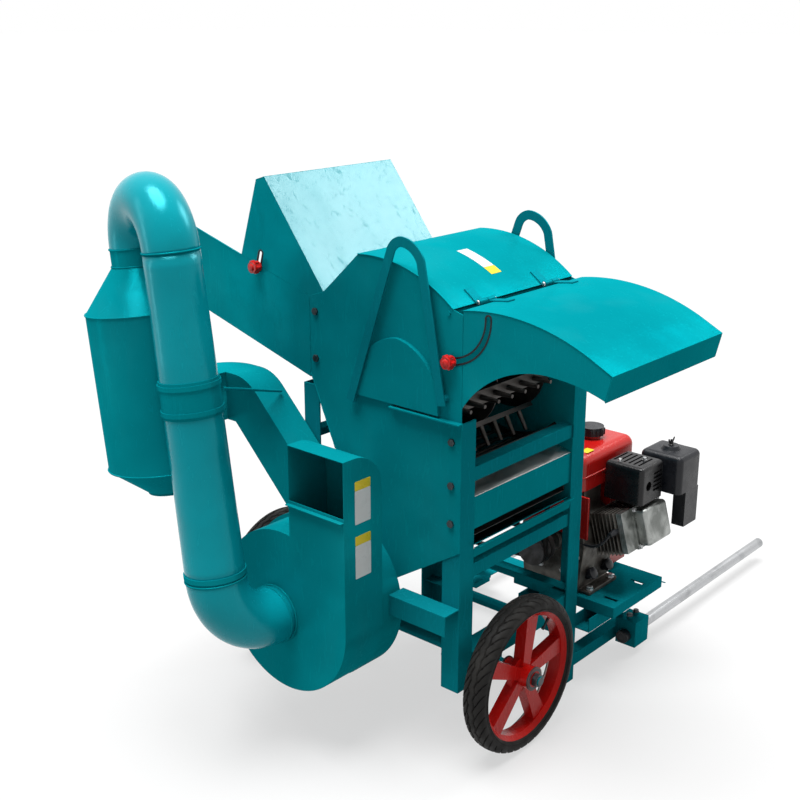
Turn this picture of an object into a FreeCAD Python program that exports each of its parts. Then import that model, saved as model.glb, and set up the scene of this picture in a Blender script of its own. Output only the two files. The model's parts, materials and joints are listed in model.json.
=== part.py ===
import FreeCAD, Part

import math
import os
import re

import Sketcher

# Grain thresher on two wheels, as a parametric document.
# X runs along the machine towards the straw outlet, Y towards the engine side, Z up.
# The ground is Z = 0 and the frame stands centred on X = 0, Y = 0 until the last lines move the origin
# to the middle of the overall box.

doc = FreeCAD.newDocument("GrainThresher")
sheet = doc.addObject("Spreadsheet::Sheet", "Sizes")

SIZES = {
    # frame of steel angle
    "frame_half_length": 214,
    "frame_half_width": 217,
    "angle_leg": 45,
    "angle_wall": 4,
    "post_top": 740,
    "wheel_post_foot": 158,
    "cross_bar_z": 639,
    "lower_bar_z": 432,
    "near_rail_z": 350,
    "far_rail_z": 240,
    "bar_leg": 30,
    "bar_wall": 3,
    "ledge_leg": 14,
    "ledge_start": 40,
    "lower_bar_rise": 74,
    "plate_wall": 2,
    "fit_gap": 0.3,
    "bolt_radius": 8,
    # wheels and axle
    "wheel_radius": 170,
    "tyre_width": 54,
    "tyre_section": 32,
    "rim_radius": 140,
    "rim_width": 44,
    "hub_radius": 24,
    "hub_length": 74,
    "axle_radius": 10,
    "axle_tube_radius": 16,
    "hub_play": 0.05,
    "hub_gap": 1,
    "axle_end": 16,
    "bracket_inset": 20,
    "bracket_half": 15,
    "saddle_half": 22,
    "disc_rim": 16,
    "disc_half": 5,
    "spoke_root": 13,
    "spoke_tip": 19,
    "spoke_edge": 12,
    "spoke_start": 8,
    "bead_edge": 4,
    "rim_drop": 10,
    "rim_well": 8,
    "rim_lip": 3,
    "tyre_crown": 14,
    "tyre_side": 6,
    "wheel_y": -82,
    "near_wheel_gap": 59,
    "far_wheel_gap": 226,
    "spoke_count": 5,
    "nut_radius": 15,
    "nut_length": 12,
    # threshing body
    "drum_x": 55,
    "drum_z": 752,
    "drum_tip_radius": 148,
    "drum_core_radius": 96,
    "drum_shaft_radius": 15,
    "drum_ends": 49,
    "drum_start": 26,
    "drum_disc": 4,
    "drum_boss": 9,
    "drum_boss_length": 20,
    "tooth_first": 0.35,
    "tooth_rows": 7.6,
    "bar_depth": 10,
    "bar_face": 30,
    "tooth_root": 6,
    "tooth_tip": 4,
    "bearing_play": 0.05,
    "bearing_radius": 38,
    "bearing_length": 16,
    "bearing_ear": 14,
    "bearing_ear_wall": 5,
    "bearing_ear_half": 20,
    "carrier_radius": 28,
    "carrier_half": 44,
    "carrier_rise": 18,
    "concave_gap": 12,
    "concave_rod": 4,
    "concave_rod_place": 6,
    "concave_side": 14,
    "concave_wall": 6,
    "concave_from": 204,
    "concave_span": 110,
    "concave_first": 206,
    "concave_step": 10.6,
    "sieve_z": 486,
    "sieve_start_x": -108,
    "sieve_end_gap": 14,
    "sieve_rim": 16,
    "sieve_play": 5,
    "runner_start_x": -104,
    "runner_end_gap": 1,
    "pan_edge_z": 472,
    "pan_knee_x": -120,
    "pan_knee_z": 610,
    "pan_rise": 40,
    "pan_lap_x": 20,
    "pan_lap_z": 30,
    "pan_room": 6,
    "front_plate_foot": 507,
    "front_plate_top": 575,
    "shelf_front_z": 577,
    "shelf_back_x": 142,
    "shelf_back_z": 596,
    "lip_reach": 14,
    "lip_z": 470,
    "lip_rise": 6,
    "lip_drop": 24,
    "lid_hinge_x": 203,
    "lid_hinge_z": 958,
    "lid_pin_radius": 3,
    "knuckle_wall": 2.5,
    "hinge_first_y": -130,
    "hinge_second_y": 85,
    "hinge_half": 25,
    "hinge_joint": 2,
    "pin_back": 4,
    "pin_rise": 6.7,
    "lid_overhang": 2,
    "hinge_wall": 2.4,
    "sheet_wall": 1.5,
    "lid_edge_x": -52,
    "lid_edge_z": 1034,
    "lid_radius": 330,
    "notch_x": -149,
    "notch_z": 944,
    "wall_x": -190,
    "notch_drop": 14,
    "trough_foot": 768,
    "trough_step": 12,
    "trough_slope": 0.285,
    "trough_end_x": -600,
    "feed_front_x": -395,
    "feed_ridge_x": -341,
    "feed_ridge_z": 1153,
    "feed_crest_x": -316,
    "feed_crest_z": 1161,
    "hood_radius": 451,
    "crease_x": 505,
    "crease_z": 916,
    "hood_lip_x": 538,
    "hood_lip_z": 899,
    "hood_start_x": 12,
    "hood_start_z": 4,
    "toe_back": 11,
    "toe_drop": 48,
    "cheek_foot": 20,
    "cheek_knee_x": 423,
    "cheek_knee_z": 873,
    "cheek_rear_radius": 225,
    "cheek_front_radius": 350,
    "dome_half": 108,
    "dome_foot": 4,
    "dome_shoulder": 104,
    "dome_side": 40,
    "dome_crown": 132,
    "dome_radius": 118,
    "dome_depth": 9,
    "dome_wall": 2,
    # straw deflector, feed gate and their knobs
    "flap_x": 181,
    "flap_z": 953,
    "flap_pin": 4.5,
    "flap_stud": 92,
    "flap_stud_lean": 5,
    "ear_half": 6,
    "flap_length": 118,
    "stud_radius": 4,
    "knob_radius": 15,
    "knob_depth": 18,
    "knob_gap": 2,
    "lobe_radius": 4,
    "gate_x": -341,
    "gate_z": 971,
    "gate_travel": 30,
    "gate_below": 24,
    "gate_above": 112,
    # carrying straps
    "strap_left": -74,
    "strap_right": 185,
    "strap_foot": 737,
    "strap_top": 1086,
    "strap_left_run": 112,
    "strap_left_drop": 26,
    "strap_crown_x": 145,
    "strap_left_radius": 42,
    "strap_right_run": 206,
    "strap_right_drop": 40,
    "strap_right_radius": 64,
    "strap_right_rise": 37,
    "strap_stud": 7,
    "strap_stud_x": 14,
    "strap_stud_z": 12,
    "strap_stud_back": 8,
    "strap_gap": 6,
    "strap_width": 20,
    "strap_wall": 4,
    # blower and thrower on one shaft
    "shaft_x": -118,
    "shaft_z": 303,
    "shaft_radius": 12,
    "auger_ends": 48,
    "auger_start": 6,
    "auger_disc": 2,
    "fan_wheel_radius": 140,
    "collar_length": 14,
    "pipe_top_radius": 54,
    "duct_round": 80,
    "duct_arc": 95,
    "duct_width": 104,
    "stay_radius": 3,
    "stay_from_x": 30,
    "stay_from_y": 52,
    "stay_from_z": 500,
    "stay_to_x": 110,
    "stay_to_y": 20,
    "stay_drop": 34,
    "foot_band_start": 6,
    "foot_band_length": 10,
    "foot_band_wall": 4,
    "sleeve_start": 330,
    "sleeve_length": 72,
    "sleeve_wall": 0.5,
    "sleeve_ring": 9,
    "sleeve_ring_wall": 3,
    "ring_first": 336,
    "ring_second": 387,
    "band_bite": 2,
    "sill_reach": 10,
    "sill_low": 8,
    "sill_high": 6,
    "fan_wheel_gap": 14,
    "fan_wheel_room": 30,
    "fan_hub_radius": 30,
    "fan_disc_gap": 18,
    "thrower_gap": 8,
    "thrower_room": 14,
    "thrower_tip_gap": 8,
    "thrower_hub_radius": 34,
    "shaft_start": 12,
    "shaft_end": 6,
    "belt_width": 12,
    "belt_depth": 8,
    "sieve_runner": 14,
    "auger_radius": 30,
    "thrower_radius": 182,
    "thrower_depth": 78,
    "fan_centre_x": -95,
    "fan_centre_z": 315,
    "fan_radius": 175,
    "fan_depth": 108,
    "fan_wall_x": 80,
    "duct_left_x": -72,
    "fan_roof_z": 682,
    "mouth_sill_z": 566,
    "elbow_radius": 60,
    "elbow_bend": 128,
    "pipe_lean": 7.3,
    "pipe_length": 643,
    "top_bend": 92,
    "top_bend_heading": 163,
    "cyclone_radius": 119,
    "cyclone_length": 318,
    "cyclone_cone": 88,
    "neck_length": 34,
    "cyclone_foot": 60,
    "cyclone_outlet": 45,
    "duct_top": 748,
    "duct_floor": 641,
    "duct_end_x": -372,
    # drive on the engine side
    "drum_pulley_radius": 95,
    "blower_pulley_radius": 45,
    "engine_pulley_radius": 36,
    "pulley_width": 22,
    "drum_belt_gap": 14,
    "belt_step": 26,
    "belt_play": 0.6,
    "belt_rise": 1,
    # engine, with its crank along Y
    "crank_x": 110,
    "crank_z": 311,
    "engine_gap": 45,
    "plate_top_z": 195,
    "plate_left": 100,
    "plate_right": 180,
    "plate_front": 9,
    "plate_reach": 208,
    "plate_height": 27,
    "plate_skin": 3,
    "plate_slot": 36,
    "plate_slot_width": 9,
    "lip_run": 20,
    "lip_start": 12,
    "lip_fall": 10,
    "rail_left": 40,
    "rail_right": 120,
    "rail_half": 20,
    "rail_height": 35,
    "rail_reach": 215,
    "floor_rail_rise": 14,
    "leg_start": 20,
    "leg_end": 50,
    "tie_length": 60,
    "crank_radius": 10,
    "crank_reach": 38,
    "case_radius": 88,
    "case_depth": 128,
    "flange_wall": 10,
    "cylinder_tilt": 15.5,
    "cylinder_step": 109,
    "foot_left": 85,
    "foot_right": 105,
    "boss_radius": 26,
    "boss_reach": 6,
    "fin_half": 50,
    "fin_count": 7,
    "fin_pitch": 10,
    "fin_wall": 3,
    "fin_reach": 72,
    "fin_first": 4,
    "barrel_end": 160,
    "barrel_half": 38,
    "barrel_reach": 56,
    "head_start": 158,
    "head_end": 173,
    "head_reach": 66,
    "cover_end": 208,
    "cover_low": 22,
    "cover_high": 76,
    "cover_half": 44,
    "cover_rim": 5,
    "muffler_left": 80,
    "muffler_right": 182,
    "muffler_low_y": 29,
    "muffler_high_y": 69,
    "muffler_foot": 105,
    "muffler_top": 194,
    "muffler_round": 11,
    "vent_pitch": 13,
    "vent_side_pitch": 10,
    "vent_width": 5,
    "outlet_radius": 11,
    "bowl_radius": 20,
    "bowl_depth": 26,
    "cleaner_left": 110,
    "cleaner_right": 220,
    "cleaner_low_y": 77,
    "cleaner_high_y": 174,
    "cleaner_foot": 109,
    "cleaner_top": 201,
    "cleaner_round": 14,
    "tank_left": 110,
    "tank_right": 70,
    "tank_low_y": 6,
    "tank_high_y": 238,
    "tank_round": 24,
    "filler_y": 148,
    "cap_radius": 29,
    "cap_depth": 20,
    "cap_gap": 8.3,
    "shroud_depth": 84,
    "starter_foot": 82,
    "starter_face": 70,
    "starter_depth": 34,
    "tank_top": 525,
    "tank_floor": 440,
    # pull rods
    "rod_radius": 13.5,
    "rod_gap": 27,
    "rod_z": 52,
    "rod_reach": 163,
    "rod_length": 730,
    "rod_cap": 18,
    "clamp_width": 27,
    "clamp_height": 38,
    "clamp_length": 60,
    "clamp_bolt_first": 16,
    "clamp_bolt_second": 44,
    "clamp_bolt_height": 7,
    "cap_wall": 2.5,
    # bolts of the side plates
    "head_height": 5,
    "front_bolt_inset": 22,
    "rear_bolt_inset": 18,
    "bolt_low_z": 530,
    "bolt_middle_z": 610,
    "bolt_high_z": 700,
    "rear_bolt_low_z": 800,
    "rear_bolt_high_z": 900,
}

# Places that follow the sizes above, spelt out wherever a formula uses their word.
PLACES = {
    "near_wheel_x": "(frame_half_length + near_wheel_gap)",
    "far_wheel_x": "(-frame_half_length - far_wheel_gap)",
    "rod_x": "(frame_half_length + rod_gap)",
    "rod_start_y": "(frame_half_width + rod_reach)",
    "engine_y": "(frame_half_width + engine_gap)",
    "cylinder_y": "(frame_half_width + engine_gap + cylinder_step)",
    "drum_belt_y": "(frame_half_width - angle_leg + drum_belt_gap)",
    "blower_belt_y": "(frame_half_width - angle_leg + drum_belt_gap + belt_step)",
    "drum_length": "(2 * frame_half_width - angle_leg - drum_ends)",
    "auger_pitch": "((2 * frame_half_width - angle_leg - auger_ends) / 11)",
}

for line, (alias, amount) in enumerate(SIZES.items(), start=1):
    sheet.set("A%d" % line, alias)
    sheet.set("B%d" % line, str(amount))
    sheet.setAlias("B%d" % line, alias)
doc.recompute()

WORD = re.compile(r"[A-Za-z_][A-Za-z_0-9]*")
X = FreeCAD.Vector(1, 0, 0)
Y = FreeCAD.Vector(0, 1, 0)
Z = FreeCAD.Vector(0, 0, 1)
TURNS = {
    "Z": FreeCAD.Rotation(),
    "X": FreeCAD.Rotation(Z, X),
    "Y": FreeCAD.Rotation(FreeCAD.Vector(1, 0, 0), -90),
}
NODES = []


def formula(text):
    """Spell out the places and put the sheet's name before each alias, so that an object can be bound to it."""
    spelt = WORD.sub(lambda m: PLACES.get(m.group(0), m.group(0)), str(text))
    return WORD.sub(lambda m: "Sizes." + m.group(0) if m.group(0) in SIZES else m.group(0), spelt)


def number(text):
    """The value that a formula has now."""
    return float(sheet.evalExpression(formula(text)))


def bind(item, **sizes):
    """Bind properties of an object to formulas: Length='rod_length', and so on."""
    for name, text in sizes.items():
        item.setExpression(name, formula(text))
    return item


def seat(item, x, y, z, axis="Z"):
    """Turn an object's own Z to a row axis, and bind its base point."""
    item.Placement = FreeCAD.Placement(FreeCAD.Vector(number(x), number(y), number(z)), TURNS[axis])
    item.setExpression("Placement.Base.x", formula(x))
    item.setExpression("Placement.Base.y", formula(y))
    item.setExpression("Placement.Base.z", formula(z))
    return item


def block(x0, x1, y0, y1, z0, z1):
    """A box between two formulas on each axis."""
    item = doc.addObject("Part::Box", "Block")
    bind(item, Length="(%s) - (%s)" % (x1, x0), Width="(%s) - (%s)" % (y1, y0), Height="(%s) - (%s)" % (z1, z0))
    return seat(item, x0, y0, z0)


def rod(axis, x, y, z, radius, length):
    """A round bar that starts at a point and runs along a row axis."""
    item = bind(doc.addObject("Part::Cylinder", "Rod"), Radius=radius, Height=length)
    return seat(item, x, y, z, axis)


def tube(axis, x, y, z, radius, wall, length):
    """A round pipe."""
    outer = rod(axis, x, y, z, radius, length)
    inner = rod(axis, x, y, z, "(%s) - (%s)" % (radius, wall), length)
    return cut(outer, inner)


def cone(axis, x, y, z, radius_low, radius_high, length):
    """A cone or taper along a row axis."""
    item = bind(doc.addObject("Part::Cone", "Taper"), Radius1=radius_low, Radius2=radius_high, Height=length)
    return seat(item, x, y, z, axis)


def cut(base, *tools):
    """The base less the tools."""
    item = doc.addObject("Part::Cut", "Cut")
    item.Base = base
    item.Tool = tools[0] if len(tools) == 1 else fuse(*tools)
    return item


def fuse(*items):
    """One solid from pieces that touch."""
    item = doc.addObject("Part::MultiFuse", "Weld")
    item.Shapes = list(items)
    item.Refine = True
    return item


def common(first, second):
    """What two solids share."""
    item = doc.addObject("Part::Common", "Shared")
    item.Base = first
    item.Tool = second
    return item


def group(*items):
    """Separate solids that are kept together."""
    item = doc.addObject("Part::Compound", "Group")
    item.Links = list(items)
    return item


def rounded(item, radius, pick):
    """Round the edges that a test of their middle point and direction picks."""
    doc.recompute()
    edges = []
    for place, edge in enumerate(item.Shape.Edges, start=1):
        middle = edge.valueAt((edge.FirstParameter + edge.LastParameter) / 2)
        if pick(edge, middle):
            edges.append((place, radius, radius))
    result = doc.addObject("Part::Fillet", "Rounded")
    result.Base = item
    result.Edges = edges
    return result


def runs_along(axis):
    """A test for straight edges along a row axis."""
    def test(edge, middle):
        if not isinstance(edge.Curve, Part.Line):
            return False
        return abs(edge.Curve.Direction.dot(axis)) > 0.999
    return test


def turned(name, loops, x, y, z, axis):
    """A body of revolution: loops of (radius, height) formulas about the row axis through a point."""
    body = doc.addObject("PartDesign::Body", name)
    sketch = outline(body, "XZ_Plane", "0", loops)
    feature = body.newObject("PartDesign::Revolution", name + "Turn")
    feature.Profile = sketch
    feature.ReferenceAxis = (sketch, ["V_Axis"])
    feature.Angle = 360
    body.Tip = feature
    return seat(body, x, y, z, axis)


def pad(name, plane, low, depth, loops):
    """A plate: loops of formulas on a row plane, padded from a low coordinate through a depth."""
    body = doc.addObject("PartDesign::Body", name)
    start = "-(%s) - (%s)" % (low, depth) if plane == "XZ" else low
    sketch = outline(body, plane + "_Plane", start, loops)
    feature = body.newObject("PartDesign::Pad", name + "Pad")
    feature.Profile = sketch
    bind(feature, Length=depth)
    body.Tip = feature
    return body


def arc_centre(start, end, radius, side):
    """The centre of the arc between two points: side +1 bulges to the right of the way, -1 to the left."""
    half = (end - start) * 0.5
    reach = math.sqrt(max(radius * radius - half.Length * half.Length, 1e-9))
    across = FreeCAD.Vector(-half.y, half.x, 0)
    across.normalize()
    return start + half + across * reach * side


def outline(body, role, offset, loops):
    """A fully constrained sketch on an origin plane of its body.

    A loop is a list of points (x, y), each with an optional radius and side for the arc that leads to
    it, or one circle ("circle", x, y, radius). Every point and radius is bound to its formula.
    """
    sketch = body.newObject("Sketcher::SketchObject", body.Name + "Outline")
    plane = [item for item in body.Origin.OriginFeatures if item.Role == role][0]
    sketch.AttachmentSupport = [(plane, "")]
    sketch.MapMode = "FlatFace"
    sketch.setExpression("AttachmentOffset.Base.z", formula(offset))
    for loop in loops:
        if loop[0] == "circle":
            place_circle(sketch, *loop[1:])
        else:
            place_path(sketch, loop)
    return sketch


def hold(sketch, kind, text, *where):
    """One dimension of a sketch, bound to a formula."""
    index = sketch.addConstraint(Sketcher.Constraint(kind, *where, number(text)))
    sketch.setExpression("Constraints[%d]" % index, formula(text))


def hold_point(sketch, edge, end, x, y):
    """Bind a point of an edge to its two coordinates from the sketch's origin."""
    hold(sketch, "DistanceX", x, -1, 1, edge, end)
    hold(sketch, "DistanceY", y, -1, 1, edge, end)


def place_circle(sketch, x, y, radius):
    """A bound circle."""
    circle = Part.Circle(FreeCAD.Vector(number(x), number(y), 0), Z, number(radius))
    edge = sketch.addGeometry(circle, False)
    hold_point(sketch, edge, 3, x, y)
    hold(sketch, "Radius", radius, edge)


def place_path(sketch, loop):
    """A bound closed path of lines and arcs."""
    points = [FreeCAD.Vector(number(point[0]), number(point[1]), 0) for point in loop]
    starts = []
    for place, point in enumerate(loop):
        before = points[place - 1]
        here = points[place]
        if len(point) == 2:
            edge = sketch.addGeometry(Part.LineSegment(before, here), False)
            starts.append((edge, 1, 2))
            continue
        radius, side = point[2], point[3]
        centre = arc_centre(before, here, number(radius), side)
        circle = Part.Circle(centre, Z, number(radius))
        first, last = (before, here) if side > 0 else (here, before)
        angles = [math.atan2(end.y - centre.y, end.x - centre.x) for end in (first, last)]
        if angles[1] < angles[0]:
            angles[1] += 2 * math.pi
        edge = sketch.addGeometry(Part.ArcOfCircle(circle, angles[0], angles[1]), False)
        starts.append((edge, 1, 2) if side > 0 else (edge, 2, 1))
        hold(sketch, "Radius", radius, edge)
    for place, point in enumerate(loop):
        edge, start, end = starts[place]
        after, after_start, after_end = starts[(place + 1) % len(loop)]
        sketch.addConstraint(Sketcher.Constraint("Coincident", edge, end, after, after_start))
        hold_point(sketch, edge, end, point[0], point[1])


def bent_sheet(name, plane, path, wall, low, high):
    """A sheet bent along an open path of (x, z) points and arcs, between two coordinates across it.

    The sheet's wall grows to the left of the way for a positive wall.
    """
    points = [FreeCAD.Vector(number(point[0]), number(point[1]), 0) for point in path]
    edges = []
    for before, here, point in zip(points, points[1:], path[1:]):
        if len(point) == 2:
            edges.append(Part.LineSegment(before, here).toShape())
            continue
        radius, side = number(point[2]), point[3]
        centre = arc_centre(before, here, radius, side)
        middle = (before + here) * 0.5 - centre
        middle.normalize()
        edges.append(Part.Arc(before, centre + middle * radius, here).toShape())
    if len(edges) == 1 and len(path[1]) == 2:
        across = Z.cross(points[1] - points[0])
        across.normalize()
        across *= number(wall)
        corners = [points[0], points[1], points[1] + across, points[0] + across, points[0]]
        face = Part.Face(Part.makePolygon(corners))
    else:
        face = Part.Wire(edges).makeOffset2D(-number(wall), 2, True, True, True)
    depth = number(high) - number(low)
    solid = face.extrude(FreeCAD.Vector(0, 0, depth))
    if not solid.Solids:
        raise ValueError("no solid in " + name)
    item = doc.addObject("Part::Feature", name)
    item.Shape = solid
    if plane == "XZ":
        item.Placement = FreeCAD.Placement(Y * number(high), FreeCAD.Rotation(X, 90))
    else:
        item.Placement = FreeCAD.Placement(X * number(low), FreeCAD.Rotation(X + Y + Z, 120))
    return item


def bend(x, y, z, ring, radius, wall, angle, turn):
    """A bent pipe: part of a ring about the point, less its bore."""
    pieces = []
    for inset in ("0", wall):
        item = doc.addObject("Part::Torus", "Bend")
        bind(item, Radius1=ring, Radius2="(%s) - (%s)" % (radius, inset))
        item.Angle3 = angle
        item.Placement = FreeCAD.Placement(FreeCAD.Vector(number(x), number(y), number(z)), turn)
        for letter, text in zip("xyz", (x, y, z)):
            item.setExpression("Placement.Base." + letter, formula(text))
        pieces.append(item)
    return cut(*pieces)


def node(label, *items):
    """A sub-part: one object with its own label, which also names its file."""
    item = group(*items)
    item.Label = label
    NODES.append(item)
    return item


def angle_bar(axis, corner, toward, low, high, leg="angle_leg", wall="angle_wall"):
    """A steel angle along a row axis: its outer corner and the two signs that its legs run in."""
    (a, b), (sa, sb) = corner, toward
    ends_a = (a, "(%s) + %d * %s" % (a, sa, leg)) if sa > 0 else ("(%s) - %s" % (a, leg), a)
    ends_b = (b, "(%s) + %d * %s" % (b, sb, leg)) if sb > 0 else ("(%s) - %s" % (b, leg), b)
    thin_a = (a, "(%s) + %s" % (a, wall)) if sa > 0 else ("(%s) - %s" % (a, wall), a)
    thin_b = (b, "(%s) + %s" % (b, wall)) if sb > 0 else ("(%s) - %s" % (b, wall), b)
    if axis == "Z":
        return fuse(block(*ends_a, *thin_b, low, high), block(*thin_a, *ends_b, low, high))
    if axis == "Y":
        return fuse(block(*ends_a, low, high, *thin_b), block(*thin_a, low, high, *ends_b))
    return fuse(block(low, high, *ends_a, *thin_b), block(low, high, *thin_a, *ends_b))


L = "frame_half_length"
W = "frame_half_width"
FAR = "(frame_half_width - angle_leg)"
NEAR = "(-frame_half_width - plate_wall)"
STUD_END = "(-frame_half_width - plate_wall - knob_depth + 1 + fit_gap)"


def build_frame():
    """Posts, cross bars, rails and the axle tube with its brackets."""
    wheel_posts = []
    engine_posts = []
    for sign in (1, -1):
        edge = "%d * %s" % (sign, L)
        wheel_posts.append(angle_bar("Z", (edge, "-" + W), (-sign, 1), "wheel_post_foot", "post_top"))
        engine_posts.append(angle_bar("Z", (edge, W), (-sign, -1), "0", "post_top"))
    node("frame_posts", *wheel_posts, *engine_posts)

    inner = "(frame_half_length - angle_wall)"
    upper = []
    for sign in (1, -1):
        face = "%d * %s" % (sign, inner)
        for top in ("cross_bar_z", "lower_bar_z"):
            upper.append(angle_bar("Y", (face, top), (-sign, -1), "-%s + angle_wall" % W, "%s - angle_wall" % W,
                                   "bar_leg", "bar_wall"))
    lower = []
    for sign in (1, -1):
        face = "%d * %s" % (sign, inner)
        lower.append(angle_bar("Y", (face, "wheel_post_foot + lower_bar_rise"), (-sign, -1), "-%s + angle_wall" % W,
                               "%s - angle_wall" % W))
    near_rail = angle_bar("X", ("-frame_half_width - angle_leg", "near_rail_z"), (1, -1),
                          "shaft_x + thrower_radius + 2", L)
    far_rail = angle_bar("X", ("frame_half_width - angle_wall", "far_rail_z"), (-1, -1), "-%s + angle_wall" % L,
                         "%s - angle_wall" % L, "bar_leg", "bar_wall")
    node("frame_bars", *upper, *lower, near_rail, far_rail)

    tube_end = "(near_wheel_x - hub_length / 2 - hub_gap)"
    far_end = "(far_wheel_x + hub_length / 2 + hub_gap)"
    nut_out = "(hub_length / 2 + hub_gap)"
    axle = fuse(
        rod("X", far_end, "wheel_y", "wheel_radius", "axle_tube_radius", "%s - (%s)" % (tube_end, far_end)),
        rod("X", "far_wheel_x - hub_length / 2 - axle_end", "wheel_y", "wheel_radius", "axle_radius",
            "near_wheel_x - far_wheel_x + hub_length + 2 * axle_end"))
    nuts = []
    for side, centre in ((1, "near_wheel_x"), (-1, "far_wheel_x")):
        start = "%s + %s" % (centre, nut_out) if side > 0 else "%s - %s - nut_length" % (centre, nut_out)
        prism = doc.addObject("Part::Prism", "Hex")
        prism.Polygon = 6
        bind(prism, Circumradius="nut_radius", Height="nut_length")
        seat(prism, start, "wheel_y", "wheel_radius", "X")
        nuts.append(cut(prism, rod("X", start, "wheel_y", "wheel_radius", "axle_radius", "nut_length")))
    brackets = []
    for sign in (1, -1):
        low = "%d * (frame_half_length - bracket_inset) - bracket_half" % sign
        high = "%d * (frame_half_length - bracket_inset) + bracket_half" % sign
        saddle = cut(block(low, high, "wheel_y - saddle_half", "wheel_y + saddle_half", "wheel_radius - saddle_half",
                           "wheel_post_foot + lower_bar_rise - angle_leg"),
                     rod("X", low, "wheel_y", "wheel_radius", "axle_tube_radius", "2 * bracket_half"))
        brackets.append(saddle)
    node("axle", axle, *nuts, *brackets)

    floor_rails = []
    for sign in (1, -1):
        face = "%d * %s" % (sign, L)
        floor_rails.append(angle_bar("Y", (face, "rod_z + floor_rail_rise"), (-sign, -1), W, "rod_start_y + rod_cap + clamp_length",
                                     "bar_leg", "bar_wall"))
    rails = []
    floor = "(plate_top_z - plate_height - rail_height)"
    for centre in ("crank_x - rail_left", "crank_x + rail_right"):
        rails.append(cut(
            block("%s - rail_half" % centre, "%s + rail_half" % centre, W, "engine_y + rail_reach", floor,
                  "plate_top_z - plate_height"),
            block("%s - rail_half + bar_wall" % centre, "%s + rail_half - bar_wall" % centre, "%s - 1" % W,
                  "engine_y + rail_reach + 1", floor + " + bar_wall", "plate_top_z - plate_height + 1")))
    cross = angle_bar("X", (W + " - angle_wall", floor), (-1, -1), "-%s + angle_wall" % L,
                      "%s - angle_wall" % L, "bar_leg", "bar_wall")
    legs = [block("frame_half_length - bar_wall" if sign > 0 else "-frame_half_length",
                  "frame_half_length" if sign > 0 else "-frame_half_length + bar_wall",
                  "rod_start_y + leg_start", "rod_start_y + leg_end", "rod_z + floor_rail_rise", floor)
            for sign in (1, -1)]
    tie = block("-frame_half_length", "frame_half_length", "rod_start_y + leg_start - tie_length",
                "rod_start_y + leg_end", floor + " - bar_wall", floor)
    node("engine_base", *floor_rails, *rails, cross, tie, *legs)


def wheel(label, centre):
    """A tyre with a rounded section and a pressed rim with its spokes and hub, about X."""
    half = "tyre_width / 2"
    tyre = turned(label + "Tyre", [[
        ("rim_radius - bead_edge", "-rim_width / 2 + bead_edge"),
        ("rim_radius + 1", "-rim_width / 2 + rim_lip"),
        ("rim_radius", "-rim_width / 2"),
        ("rim_radius + bead_edge", "-%s + 2" % half),
        ("wheel_radius - rim_well", "-%s + 5" % half, "tyre_section + tyre_side", 1),
        ("wheel_radius", "-%s + 15" % half, "tyre_crown", 1),
        ("wheel_radius", "%s - 15" % half),
        ("wheel_radius - rim_well", "%s - 5" % half, "tyre_crown", 1),
        ("rim_radius + bead_edge", "%s - 2" % half, "tyre_section + tyre_side", 1),
        ("rim_radius", "rim_width / 2"),
        ("rim_radius + 1", "rim_width / 2 - rim_lip"),
        ("rim_radius - bead_edge", "rim_width / 2 - bead_edge"),
    ]], centre, "wheel_y", "wheel_radius", "X")
    node(label + "_tyre", tyre)
    rim = turned(label + "Rim", [[
        ("rim_radius - rim_drop", "-rim_width / 2 + rim_well"),
        ("rim_radius", "-rim_width / 2"),
        ("rim_radius + 1", "-rim_width / 2 + rim_lip"),
        ("rim_radius - bead_edge", "-rim_width / 2 + bead_edge"),
        ("rim_radius - bead_edge", "rim_width / 2 - bead_edge"),
        ("rim_radius + 1", "rim_width / 2 - rim_lip"),
        ("rim_radius", "rim_width / 2"),
        ("rim_radius - rim_drop", "rim_width / 2 - rim_well"),
    ]], centre, "wheel_y", "wheel_radius", "X")
    hub = rod("X", "%s - hub_length / 2" % centre, "wheel_y", "wheel_radius", "hub_radius", "hub_length")
    disc = rod("X", "%s - disc_half" % centre, "wheel_y", "wheel_radius", "hub_radius + disc_rim", "2 * disc_half")
    spokes = []
    for turn in range(int(number("spoke_count"))):
        spoke = doc.addObject("Part::Wedge", "Spoke")
        length = "rim_radius - rim_well - hub_radius"
        bind(spoke, Xmin="-spoke_root", Xmax="spoke_root", Zmin="-spoke_root", Zmax="spoke_root",
             X2min="-spoke_tip", X2max="spoke_tip", Z2min="-spoke_edge", Z2max="spoke_edge", Ymin="0", Ymax=length)
        angle = math.radians(360.0 * turn / number("spoke_count") + number("spoke_start"))
        out = Y * math.cos(angle) + Z * math.sin(angle)
        base = FreeCAD.Vector(number(centre), number("wheel_y"), number("wheel_radius"))
        rotation = FreeCAD.Rotation(out.cross(X), out, X, "YZX")
        spoke.Placement = FreeCAD.Placement(base + out * (number("hub_radius") - 2), rotation)
        spokes.append(spoke)
    bore = rod("X", "%s - hub_length / 2 - 1" % centre, "wheel_y", "wheel_radius", "axle_radius + hub_play",
               "hub_length + 2")
    node(label + "_rim", cut(fuse(rim, hub, disc, *spokes), bore))


def lid_arc(drop):
    """The two ends of the arc that the lid and the side plates share, lowered by a drop."""
    return ("lid_hinge_x - 12", "lid_hinge_z + 3 - (%s)" % drop), ("lid_edge_x", "lid_edge_z - (%s)" % drop)


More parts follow.
